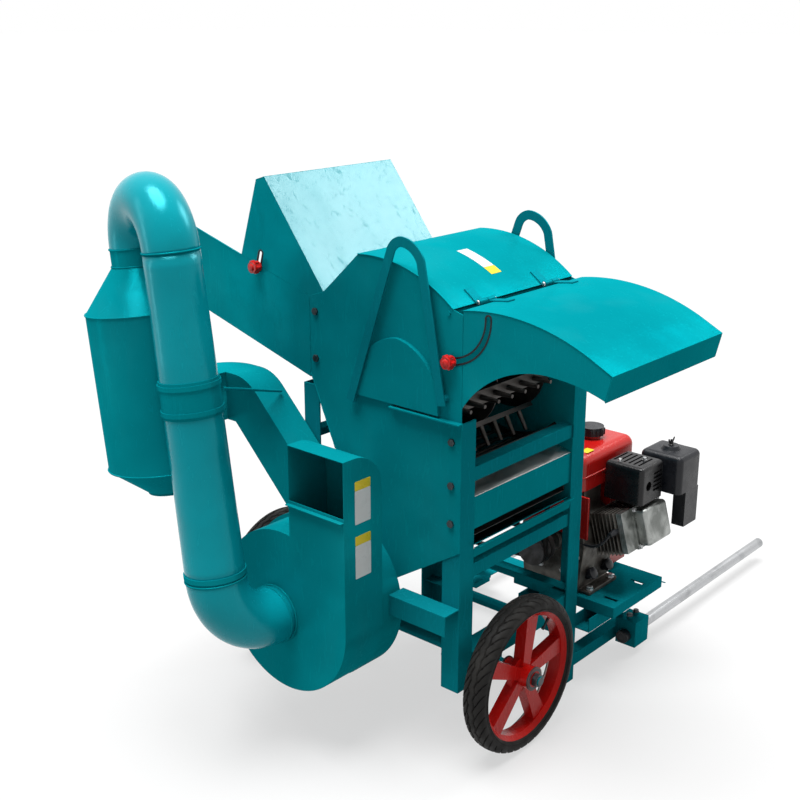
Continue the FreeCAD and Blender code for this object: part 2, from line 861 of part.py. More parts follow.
def slot_ring(name, centre_x, centre_z, ring, half, low_angle, high_angle):
    """The tool for a curved slot: a ring sector with round ends, as deep as the near plates."""
    ends = []
    for angle in (low_angle, high_angle):
        turn = math.radians(angle)
        ends.append(rod("Y", "%s + (%s) * %.6f" % (centre_x, ring, math.cos(turn)), NEAR + " - 1",
                        "%s + (%s) * %.6f" % (centre_z, ring, math.sin(turn)), half, "plate_wall + 2"))
    sector = doc.addObject("Part::Cylinder", "Sector")
    bind(sector, Radius="(%s) + (%s)" % (ring, half), Height="plate_wall + 2")
    sector.Angle = high_angle - low_angle
    core = bind(doc.addObject("Part::Cylinder", "Core"), Radius="(%s) - (%s)" % (ring, half),
                Height="plate_wall + 2")
    for item in (sector, core):
        turn = FreeCAD.Rotation(X, 90).multiply(FreeCAD.Rotation(Z, low_angle))
        item.Placement = FreeCAD.Placement(
            FreeCAD.Vector(number(centre_x), number(NEAR + " + plate_wall + 1"), number(centre_z)), turn)
    return fuse(cut(sector, core), *ends)


def build_body():
    """Side plates, pan, fixed back cover, front plates and the drum-end cover."""
    top_right, top_left = lid_arc("fit_gap")
    loop = [
        (L, "pan_edge_z"), (L, "lid_hinge_z - pin_back"), top_right, top_left + ("lid_radius", 1),
        ("notch_x", "notch_z"), ("wall_x", "notch_z - notch_drop"), ("wall_x", "trough_foot"),
        ("pan_knee_x", "pan_knee_z"),
        ("shaft_x - auger_radius - pan_room", "shaft_z + pan_rise"), ("shaft_x - auger_radius - pan_room", "shaft_z"),
        ("shaft_x + pan_lap_x", "shaft_z - pan_lap_z", "auger_radius + pan_room", 1),
    ]
    shaft_hole = {"near_side_plate": "auger_radius + 4", "far_side_plate": "shaft_radius + fit_gap"}
    for label, low in (("near_side_plate", NEAR), ("far_side_plate", FAR + " - plate_wall")):
        holes = [["circle", "shaft_x", "shaft_z", shaft_hole[label]],
                 ["circle", "drum_x", "drum_z", "drum_shaft_radius + 1"],
                 ["circle", "flap_x", "flap_z", "flap_pin + bearing_play"]]
        plate = pad(label[:4].title() + "Side", "XZ", low, "plate_wall", [loop] + holes)
        if label == "near_side_plate":
            plate = cut(plate, slot_ring("Slot", "flap_x", "flap_z", "flap_stud", "stud_radius + 0.6", -89, 2))
            ledge = angle_bar("X", (NEAR, "post_top + bar_wall"), (-1, -1), "ledge_start", L + " + angle_wall",
                              "ledge_leg", "bar_wall")
            node(label, plate, ledge)
        else:
            notch = block(L + " - angle_wall - bar_leg", L, FAR + " - plate_wall - 1", FAR + " + 1",
                          "cross_bar_z - bar_leg", "cross_bar_z")
            node(label, cut(plate, notch))

    pan = bent_sheet("LowerPan", "XZ", [
        (L + " - angle_wall", "pan_edge_z"), ("shaft_x + pan_lap_x", "shaft_z - pan_lap_z"),
        ("shaft_x - auger_radius - pan_room", "shaft_z", "auger_radius + pan_room", -1),
        ("shaft_x - auger_radius - pan_room", "shaft_z + pan_rise"), ("pan_knee_x", "pan_knee_z"),
        ("wall_x", "trough_foot"),
    ], "-sheet_wall", "-%s" % W, FAR + " - plate_wall")
    posts = [block(low, high, "-%s" % W, "-%s + angle_wall" % W, "wheel_post_foot", "post_top")
             for low, high in ((L + " - angle_leg", L), ("-" + L, "-%s + angle_leg" % L))]
    node("lower_pan", cut(pan, *posts))

    node("front_plate",
         block(L + " - angle_wall - sheet_wall", L + " - angle_wall", "-%s + angle_wall" % W,
               FAR + " - plate_wall", "front_plate_foot", "front_plate_top"),
         bent_sheet("Shelf", "XZ", [(L + " - angle_wall", "shelf_front_z"), ("shelf_back_x", "shelf_back_z")],
                    "sheet_wall", "-%s + angle_wall" % W, FAR + " - plate_wall"),
         bent_sheet("Lip", "XZ", [(L + " + lip_reach", "lip_z + lip_rise"), (L, "lip_z"),
                                  (L + " - angle_wall", "lip_z - lip_drop")], "sheet_wall",
                    "-%s + angle_leg" % W, FAR))

    def dome(inset, depth):
        """The drum-end cover's form, or its inside."""
        low = "drum_z - dome_foot + (%s)" % inset
        side = "drum_z + dome_side"
        radius = "dome_radius - (%s)" % inset
        return pad("Dome", "XZ", NEAR + " - (%s)" % depth, depth, [[
            ("drum_x - dome_half + (%s)" % inset, low),
            ("drum_x + dome_half - (%s)" % inset, low),
            ("drum_x + dome_shoulder - (%s)" % inset, side),
            ("drum_x", "drum_z + dome_crown - (%s)" % inset, radius, 1),
            ("drum_x - dome_shoulder + (%s)" % inset, side, radius, 1),
        ]])

    node("drum_end_cover", cut(dome("0", "dome_depth"), dome("dome_wall", "dome_depth - dome_wall")))


def hinge_leaf(x, z, slope, low, high, start, width):
    """A leaf laid on a curved sheet: its middle line passes a point at a slope in degrees."""
    leaf = bind(doc.addObject("Part::Box", "Leaf"), Width=width, Height="hinge_wall")
    leaf.Length = high - low
    turn = FreeCAD.Rotation(Y, -slope)
    middle = FreeCAD.Vector(number(x), number(start), number(z))
    leaf.Placement = FreeCAD.Placement(middle + turn.multVec(X * low - Z * (number("hinge_wall") / 2)), turn)
    return leaf


def build_top():
    """The hinged lid, the straw hood, the deflector, the straps and the feed end."""
    right, left = lid_arc("0")
    lid = bent_sheet("Lid", "XZ", [left, right + ("lid_radius", -1)], "sheet_wall", NEAR + " - lid_overhang",
                     FAR + " + lid_overhang")
    pin_x, pin_z = "(lid_hinge_x - pin_back)", "(lid_hinge_z + pin_rise)"
    frame_side = []
    lid_side = []
    for middle in ("hinge_first_y", "hinge_second_y"):
        pin = rod("Y", pin_x, "%s - hinge_half" % middle, pin_z, "lid_pin_radius", "2 * hinge_half")
        knuckle = rod("Y", pin_x, "%s + hinge_joint" % middle, pin_z, "lid_pin_radius + knuckle_wall", "22")
        leaf = hinge_leaf("lid_hinge_x + 29.4", "lid_hinge_z + 9.5", 7.7, -31, 17, "%s + 2" % middle, "22")
        frame_side.append(fuse(pin, knuckle, leaf))
        knuckle = rod("Y", pin_x, "%s - 24" % middle, pin_z, "lid_pin_radius + knuckle_wall", "24")
        leaf = hinge_leaf("lid_hinge_x - 26", "lid_hinge_z + 17.3", -35.9, -16, 22, "%s - 24" % middle, "24")
        bore = rod("Y", pin_x, "%s - hinge_half" % middle, pin_z, "lid_pin_radius + bearing_play", "hinge_half + 1")
        lid_side.append(cut(fuse(leaf, knuckle), bore))
    node("top_cover", lid)
    node("lid_hinge_leaves", *lid_side)
    node("hood_hinge_leaves", *frame_side)

    start = ("lid_hinge_x + hood_start_x", "lid_hinge_z + hood_start_z")
    crease = ("crease_x", "crease_z")
    lip = ("hood_lip_x", "hood_lip_z")
    toe = ("hood_lip_x - toe_back", "hood_lip_z - toe_drop")
    hood = bent_sheet("Hood", "XZ", [start, crease + ("hood_radius", -1), lip, toe], "sheet_wall",
                      NEAR + " - sheet_wall", FAR + " + sheet_wall")
    cheeks = []
    for low, side in ((NEAR, "near"), (FAR + " - plate_wall", "far")):
        loop = [
            (L + " + fit_gap", "drum_z + cheek_foot"),
            ("cheek_knee_x", "cheek_knee_z", "cheek_rear_radius", -1),
            ("hood_lip_x - toe_back - 1", "hood_lip_z - toe_drop + 1", "cheek_front_radius", -1),
            ("hood_lip_x - 1", "hood_lip_z - 1"), ("crease_x", "crease_z - fit_gap"),
            ("lid_hinge_x + hood_start_x", "lid_hinge_z + hood_start_z - fit_gap", "hood_radius", 1),
        ]
        cheek = pad(side.title() + "Cheek", "XZ", low, "plate_wall", [loop])
        if side == "near":
            cheek = cut(cheek, slot_ring("Slot", "flap_x", "flap_z", "flap_stud", "stud_radius + 0.6", -89, 2))
        cheeks.append(cheek)
    node("discharge_hood", hood, *cheeks)

    stud_x = "(flap_x + flap_stud * sin(flap_stud_lean * 1 deg))"
    stud_z = "(flap_z - flap_stud * cos(flap_stud_lean * 1 deg))"
    vane = block("flap_x - 1", "flap_x + 1", "-%s + 3" % W, FAR + " - plate_wall - 3", "flap_z - flap_length",
                 "flap_z")
    spindle = rod("Y", "flap_x", NEAR + " - 3", "flap_z", "flap_pin", FAR + " + 3 - %s + 3" % NEAR)
    stud = rod("Y", stud_x, STUD_END, stud_z, "stud_radius", "knob_depth - 1 + plate_wall + 12")
    ear = block("flap_x - 1", stud_x + " + 5", "-%s + 3" % W, "-%s + 8" % W,
                "flap_z - flap_stud - ear_half", "flap_z - flap_stud + ear_half")
    node("straw_deflector", fuse(vane, spindle, stud, ear))
    node("deflector_knob", star_knob(stud_x, NEAR + " - knob_gap - knob_depth", stud_z))

    straps = []
    for inner, spacer in ((NEAR + " - dome_depth - strap_gap", NEAR + " - dome_depth - 2"),
                          (FAR + " + strap_gap", FAR)):
        strap = bent_sheet("Strap", "XZ", [
            ("strap_left", "strap_foot"), ("strap_left + strap_left_run", "strap_top - strap_left_drop"),
            ("strap_left + strap_crown_x", "strap_top", "strap_left_radius", -1),
            ("strap_left + strap_right_run", "strap_top - strap_right_drop", "strap_right_radius", -1),
            ("strap_right", "strap_foot + strap_right_rise")], "-strap_width", inner, "%s + strap_wall" % inner)
        feet = []
        for x, z in (("strap_left + strap_stud_x", "strap_foot + strap_stud_z"),
                     ("strap_right - strap_stud_back", "strap_foot + strap_right_rise + strap_stud_z")):
            length = "dome_depth + 2" if spacer.startswith(NEAR) else "strap_gap"
            feet.append(rod("Y", x, spacer, z, "strap_stud", length))
        straps += [strap] + feet
    node("carry_straps", *straps)

    slope = "trough_slope"
    end = "trough_end_x"
    rise = "(wall_x - trough_end_x) * trough_slope"
    walls = []
    for low in (NEAR, FAR):
        wall = pad("TroughWall", "XZ", low, "plate_wall", [[
            ("wall_x - fit_gap", "trough_foot - trough_step"), ("wall_x - fit_gap", "notch_z - notch_drop"),
            (end, "notch_z - notch_drop + %s" % rise), (end, "trough_foot - trough_step + %s" % rise)]])
        if low == NEAR:
            wall = cut(wall, gate_slot())
        walls.append(wall)
    floor = bent_sheet("TroughFloor", "XZ", [(end, "trough_foot - trough_step + %s" % rise),
                                             ("wall_x - fit_gap", "trough_foot - trough_step")],
                       "sheet_wall", "-%s" % W, FAR)
    node("feed_trough", fuse(*walls, floor))

    sides = []
    for low in (NEAR, FAR):
        side = pad("FeedSide", "XZ", low, "plate_wall", [[
            ("notch_x - 1", "notch_z"), ("wall_x", "notch_z - notch_drop + fit_gap"),
            ("feed_front_x", "notch_z - notch_drop + fit_gap + (wall_x - feed_front_x) * %s" % slope),
            ("feed_ridge_x", "feed_ridge_z"), ("feed_crest_x", "feed_crest_z")]])
        if low == NEAR:
            side = cut(side, gate_slot())
        sides.append(side)
    roof = bent_sheet("FeedRoof", "XZ", [("feed_ridge_x", "feed_ridge_z"), ("feed_crest_x", "feed_crest_z"),
                                         ("notch_x - 1", "notch_z")], "sheet_wall", NEAR, FAR + " + plate_wall")
    back_cover = bent_sheet("BackCover", "XZ", [("notch_x", "notch_z"), ("lid_edge_x - 2", "lid_edge_z - 2")],
                            "-sheet_wall", "-%s" % W, FAR + " - plate_wall")
    node("feed_hood", *sides, roof, back_cover)

    gate = block("-1", "1", "-%s + 2" % W, FAR + " - 2", "-gate_below", "gate_above")
    stud = rod("Y", "0", STUD_END, "0", "stud_radius", "knob_depth - 1 + plate_wall + 10")
    plate = fuse(gate, stud)
    leaned = group(plate)
    leaned.Placement = FreeCAD.Placement(
        FreeCAD.Vector(number("gate_x"), 0, number("gate_z")), FreeCAD.Rotation(Y, math.degrees(math.atan(
            number("trough_slope")))))
    node("feed_gate", leaned)
    node("gate_knob", star_knob("gate_x", NEAR + " - knob_gap - knob_depth", "gate_z"))


def gate_slot():
    """The tool for the straight slot of the feed gate, square to the trough."""
    half = "stud_radius + 0.6"
    tool = fuse(
        rod("Y", "0", NEAR + " - 1", "0", half, "plate_wall + 2"),
        rod("Y", "0", NEAR + " - 1", "gate_travel", half, "plate_wall + 2"),
        block("-(%s)" % half, half, NEAR + " - 1", NEAR + " + plate_wall + 1", "0", "gate_travel"))
    leaned = group(tool)
    leaned.Placement = FreeCAD.Placement(
        FreeCAD.Vector(number("gate_x"), 0, number("gate_z")),
        FreeCAD.Rotation(Y, math.degrees(math.atan(number("trough_slope")))))
    return leaned


def star_knob(x, y, z):
    """A six-lobed hand knob with a running bore for its stud."""
    body = rod("Y", x, y, z, "knob_radius - 3", "knob_depth")
    lobes = []
    for turn in range(6):
        angle = math.radians(60 * turn)
        lobes.append(rod("Y", "%s + (knob_radius - lobe_radius) * %.5f" % (x, math.cos(angle)), "%s + 3" % y,
                         "%s + (knob_radius - lobe_radius) * %.5f" % (z, math.sin(angle)), "lobe_radius",
                         "knob_depth - 2 * lobe_radius"))
    bore = rod("Y", x, y + " + 3", z, "stud_radius + bearing_play", "knob_depth")
    return cut(fuse(body, *lobes), bore)


def lean(item):
    """Tilt a piece of the pipe run with the run, about the blower shaft."""
    for letter in "xyz":
        item.setExpression("Placement.Base." + letter, None)
    centre = FreeCAD.Vector(number("shaft_x"), 0, number("shaft_z"))
    turn = FreeCAD.Placement(FreeCAD.Vector(), FreeCAD.Rotation(Y, -number("pipe_lean")), centre)
    item.Placement = turn.multiply(item.Placement)
    return item


FAN_BACK = "(%s - thrower_depth)" % NEAR
FAN_FRONT = "(%s - thrower_depth - fan_depth)" % NEAR
PIPE_Y = "(%s - thrower_depth - fan_depth - collar_length - elbow_bend)" % NEAR
PIPE_TOP = "(shaft_z + elbow_bend + pipe_length)"
CYCLONE_X = "(shaft_x + 2 * top_bend * cos(top_bend_heading * 1 deg))"
CYCLONE_Y = "(%s + 2 * top_bend * sin(top_bend_heading * 1 deg))" % PIPE_Y


def scroll_space(inset):
    """The blower's outer form, or its inside: a drum and a duct that bends to the front at its top."""
    low = "%s + (%s)" % (FAN_FRONT, inset)
    depth = "fan_depth - 2 * (%s)" % inset
    drum = common(
        rod("Y", "fan_centre_x", low, "fan_centre_z", "fan_radius - (%s)" % inset, depth),
        block("fan_centre_x - fan_radius - 1", "fan_wall_x - (%s)" % inset, "%s - 1" % FAN_FRONT, FAN_BACK + " + 1",
              "fan_centre_z - fan_radius - 1", "fan_centre_z + fan_radius + 1"))
    back = "%s - (%s)" % (FAN_BACK, inset)
    roof = "fan_roof_z - (%s)" % inset
    duct = pad("Duct", "YZ", "duct_left_x + (%s)" % inset, "fan_wall_x - duct_left_x - 2 * (%s)" % inset, [[
        (low, "fan_centre_z"), (back, "fan_centre_z"), (back, "fan_roof_z - duct_round"),
        ("%s - duct_round" % FAN_BACK, roof, "duct_round - (%s)" % inset, 1), (low, roof)]])
    return fuse(drum, duct)


def thrower_space(inset, reach):
    """The thrower's rising duct: a straight run off the wheel's rim, then an arc to level."""
    near = "%s + (%s)" % (FAN_BACK, inset)
    root = "(shaft_x + shaft_z)"
    outer_radius = "(thrower_radius - (%s))" % inset
    arc = "(duct_arc - (%s))" % inset
    top = "(duct_top - (%s))" % inset
    arc_x = "(%s + 1.414214 * thrower_radius - duct_top + duct_arc - 1.414214 * duct_arc)" % root
    under = "(thrower_radius - duct_width + (%s))" % inset
    floor = "(duct_floor + (%s))" % inset
    end = "(duct_end_x - (%s))" % reach
    return pad("Rise", "XZ", near, "thrower_depth - 2 * (%s)" % inset, [[
        ("shaft_x + 0.707107 * %s" % under, "shaft_z + 0.707107 * %s" % under),
        ("shaft_x + 0.707107 * %s" % outer_radius, "shaft_z + 0.707107 * %s" % outer_radius),
        ("%s + 0.707107 * %s" % (arc_x, arc), "duct_top - duct_arc + 0.707107 * %s" % arc),
        (arc_x, top, arc, 1),
        (end, top),
        (end, floor),
        ("%s + 1.414214 * %s - %s" % (root, under, floor), floor),
    ]])


def inlet_space(inset, reach):
    """The elbow from the duct's end into the side of the cyclone, level all the way."""
    near = "%s + (%s)" % (FAN_BACK, inset)
    far = "%s - (%s)" % (NEAR, inset)
    east = "duct_end_x - (%s)" % inset
    west = "duct_end_x - thrower_depth + (%s)" % inset
    loop = [("duct_end_x", far), (west, FAN_BACK, "thrower_depth - (%s)" % inset, 1), (west, CYCLONE_Y),
            (east, CYCLONE_Y), (east, near)]
    if reach != "0":
        loop = [("duct_end_x + (%s)" % reach, near), ("duct_end_x + (%s)" % reach, far)] + loop
    return pad("Inlet", "XY", "duct_floor + (%s)" % inset, "duct_top - duct_floor - 2 * (%s)" % inset, [loop])


def cyclone_space(inset):
    """The cyclone's form in one turned profile, along its own axis."""
    grow = "- (%s)" % inset
    low = "-neck_length - cyclone_cone - cyclone_length"
    return lean(turned("Cyclone", [[
        ("0", "0"), ("pipe_top_radius " + grow, "0"), ("pipe_top_radius " + grow, "-neck_length"),
        ("cyclone_radius " + grow, "-neck_length - cyclone_cone"), ("cyclone_radius " + grow, low),
        ("cyclone_outlet " + grow, low + " - cyclone_foot"), ("0", low + " - cyclone_foot")]],
        CYCLONE_X, CYCLONE_Y, PIPE_TOP, "Z"))


def build_blower():
    """Blower and thrower with their wheels on one shaft, and the suction pipe over to the cyclone."""
    wall = "sheet_wall"
    mouth = block("duct_left_x + %s" % wall, "fan_wall_x - %s" % wall, FAN_FRONT + " - 1",
                  "%s + 2 * %s" % (FAN_FRONT, wall), "mouth_sill_z", "fan_roof_z - %s" % wall)
    inlet = rod("Y", "shaft_x", FAN_FRONT + " - 1", "shaft_z", "elbow_radius - %s" % wall, "%s + 2" % wall)
    shaft_hole = rod("Y", "shaft_x", "%s - %s - 1" % (FAN_BACK, wall), "shaft_z", "shaft_radius + fit_gap",
                     "%s + 2" % wall)
    sill = block("duct_left_x", "fan_wall_x", FAN_FRONT + " - sill_reach", FAN_FRONT, "mouth_sill_z - sill_low",
                 "mouth_sill_z - sill_high")
    node("blower_housing", cut(scroll_space("0"), scroll_space(wall), mouth, inlet, shaft_hole), sill)

    drum = cut(
        rod("Y", "shaft_x", FAN_BACK, "shaft_z", "thrower_radius", "thrower_depth"),
        rod("Y", "shaft_x", "%s + %s" % (FAN_BACK, wall), "shaft_z", "thrower_radius - %s" % wall,
            "thrower_depth - 2 * %s" % wall),
        thrower_space(wall, "0"),
        rod("Y", "shaft_x", FAN_BACK + " - 1", "shaft_z", "shaft_radius + fit_gap", "%s + 2" % wall),
        rod("Y", "shaft_x", "%s - %s - 1" % (NEAR, wall), "shaft_z", "auger_radius + 4", "%s + 2" % wall))
    node("thrower_housing", drum)
    keep_out = rod("Y", "shaft_x", FAN_BACK + " - 1", "shaft_z", "thrower_radius", "thrower_depth + 2")
    node("thrower_duct", cut(thrower_space("0", "0"), thrower_space(wall, "1"), keep_out),
         cut(inlet_space("0", "0"), inlet_space(wall, "1"), cyclone_space("0")))

    collar = tube("Y", "shaft_x", FAN_FRONT + " - collar_length", "shaft_z", "elbow_radius", wall, "collar_length")
    elbow = lean(bend("shaft_x", FAN_FRONT + " - collar_length", "shaft_z + elbow_bend", "elbow_bend",
                      "elbow_radius", wall, 90, FreeCAD.Rotation(Z * -1, Y * -1, X * -1, "ZXY")))
    node("suction_elbow", collar, elbow)
    foot = "(shaft_z + elbow_bend)"
    pipe = lean(cut(
        cone("Z", "shaft_x", PIPE_Y, foot, "elbow_radius", "pipe_top_radius", "pipe_length"),
        cone("Z", "shaft_x", PIPE_Y, foot, "elbow_radius - %s" % wall, "pipe_top_radius - %s" % wall,
             "pipe_length")))
    node("suction_pipe", pipe)
    core = cone("Z", "shaft_x", PIPE_Y, foot, "elbow_radius", "pipe_top_radius", "pipe_length")
    bands = []
    for low, length, grow in (("foot_band_start", "foot_band_length", "foot_band_wall"),
                              ("sleeve_start", "sleeve_length", "sleeve_wall"),
                              ("ring_first", "sleeve_ring", "sleeve_ring_wall"),
                              ("ring_second", "sleeve_ring", "sleeve_ring_wall")):
        bands.append(rod("Z", "shaft_x", PIPE_Y, foot + " + " + low, "elbow_radius + %s - band_bite" % grow, length))
    sleeve = lean(cut(fuse(*bands), core))
    heading = number("top_bend_heading")
    back = FreeCAD.Vector(-math.cos(math.radians(heading)), -math.sin(math.radians(heading)), 0)
    node("top_bend", lean(bend(
        "shaft_x + top_bend * cos(top_bend_heading * 1 deg)", PIPE_Y + " + top_bend * sin(top_bend_heading * 1 deg)",
        PIPE_TOP, "top_bend", "pipe_top_radius", wall, 180, FreeCAD.Rotation(back, Z, back.cross(Z), "ZXY"))))
    low = "%s - neck_length - cyclone_cone - cyclone_length - cyclone_foot" % PIPE_TOP
    through = lean(rod("Z", CYCLONE_X, CYCLONE_Y, low + " - 1", "cyclone_outlet - %s" % wall, "4"))
    above = lean(rod("Z", CYCLONE_X, CYCLONE_Y, PIPE_TOP + " - 2", "pipe_top_radius - %s" % wall, "4"))
    entry = inlet_space(wall, "0")
    node("cyclone", cut(cyclone_space("0"), cyclone_space(wall), through, above, entry))

    rod_from = FreeCAD.Vector(number("shaft_x - stay_from_x"), number(PIPE_Y + " + stay_from_y"),
                              number("shaft_z + stay_from_z"))
    rod_to = FreeCAD.Vector(number("duct_end_x + stay_to_x"), number(NEAR + " - stay_to_y"),
                            number("duct_top - stay_drop"))
    stay = doc.addObject("Part::Cylinder", "Stay")
    bind(stay, Radius="stay_radius")
    stay.Height = (rod_to - rod_from).Length
    stay.Placement = FreeCAD.Placement(rod_from, FreeCAD.Rotation(Z, rod_to - rod_from))
    node("pipe_bands", sleeve, stay)


def wheel_of_blades(low, depth, tip, hub, count, disc):
    """A hub on the shaft with flat blades and a backing disc, whose start along the shaft is given."""
    pieces = [rod("Y", "shaft_x", low, "shaft_z", hub, depth),
              rod("Y", "shaft_x", disc, "shaft_z", "(%s) * 0.72" % tip, "plate_wall")]
    for turn in range(count):
        blade = bind(doc.addObject("Part::Box", "Blade"), Length="(%s) - (%s) + 2" % (tip, hub), Width=depth,
                     Height="plate_wall")
        rotation = FreeCAD.Rotation(Y, 360.0 * turn / count)
        base = FreeCAD.Vector(number("shaft_x"), number(low), number("shaft_z"))
        blade.Placement = FreeCAD.Placement(base + rotation.multVec(X) * (number(hub) - 2), rotation)
        pieces.append(blade)
    bore = rod("Y", "shaft_x", low + " - 1", "shaft_z", "shaft_radius", "(%s) + 2" % depth)
    return cut(fuse(*pieces), bore)


def pulley(x, z, radius, middles, bore):
    """A pulley with a groove for each belt, centred on the belts' planes."""
    grooves = []
    low = "%s - pulley_width / 2" % middles[0]
    length = "%s - (%s) + pulley_width" % (middles[-1], middles[0])
    solid = rod("Y", x, low, z, radius, length)
    for middle in middles:
        start = "%s - belt_width / 2 - belt_play" % middle
        length_cut = "belt_width + 2 * belt_play"
        grooves.append(cut(rod("Y", x, start, z, "(%s) + 1" % radius, length_cut),
                           rod("Y", x, start, z, "(%s) - belt_depth" % radius, length_cut)))
    return cut(solid, rod("Y", x, low + " - 1", z, bore, length + " + 2"), *grooves)


def belt(name, first, second, middle):
    """An open belt round two pulleys, given as (x, z, radius) formulas, in the plane of a middle."""
    (ax, az, ar), (bx, bz, br) = [[number(text) for text in wheel_at] for wheel_at in (first, second)]
    gap = FreeCAD.Vector(bx - ax, bz - az, 0)
    along = math.atan2(gap.y, gap.x)
    faces = []
    for grow in (number("belt_rise"), number("belt_rise - belt_depth")):
        ra, rb = ar + grow, br + grow
        spread = math.acos((ra - rb) / gap.Length)
        points = []
        for cx, cz, radius, sign in ((ax, az, ra, 1), (bx, bz, rb, 1), (bx, bz, rb, -1), (ax, az, ra, -1)):
            angle = along + sign * spread
            points.append(FreeCAD.Vector(cx + radius * math.cos(angle), cz + radius * math.sin(angle), 0))
        far_b = FreeCAD.Vector(bx + rb * math.cos(along), bz + rb * math.sin(along), 0)
        far_a = FreeCAD.Vector(ax - ra * math.cos(along), az - ra * math.sin(along), 0)
        edges = [Part.LineSegment(points[0], points[1]).toShape(),
                 Part.Arc(points[1], far_b, points[2]).toShape(),
                 Part.LineSegment(points[2], points[3]).toShape(),
                 Part.Arc(points[3], far_a, points[0]).toShape()]
        faces.append(Part.Face(Part.Wire(edges)))
    width = number("belt_width")
    solid = faces[0].cut(faces[1]).extrude(Z * width)
    item = doc.addObject("Part::Feature", name)
    item.Shape = solid
    item.Placement = FreeCAD.Placement(Y * (number(middle) + width / 2), FreeCAD.Rotation(X, 90))
    return item


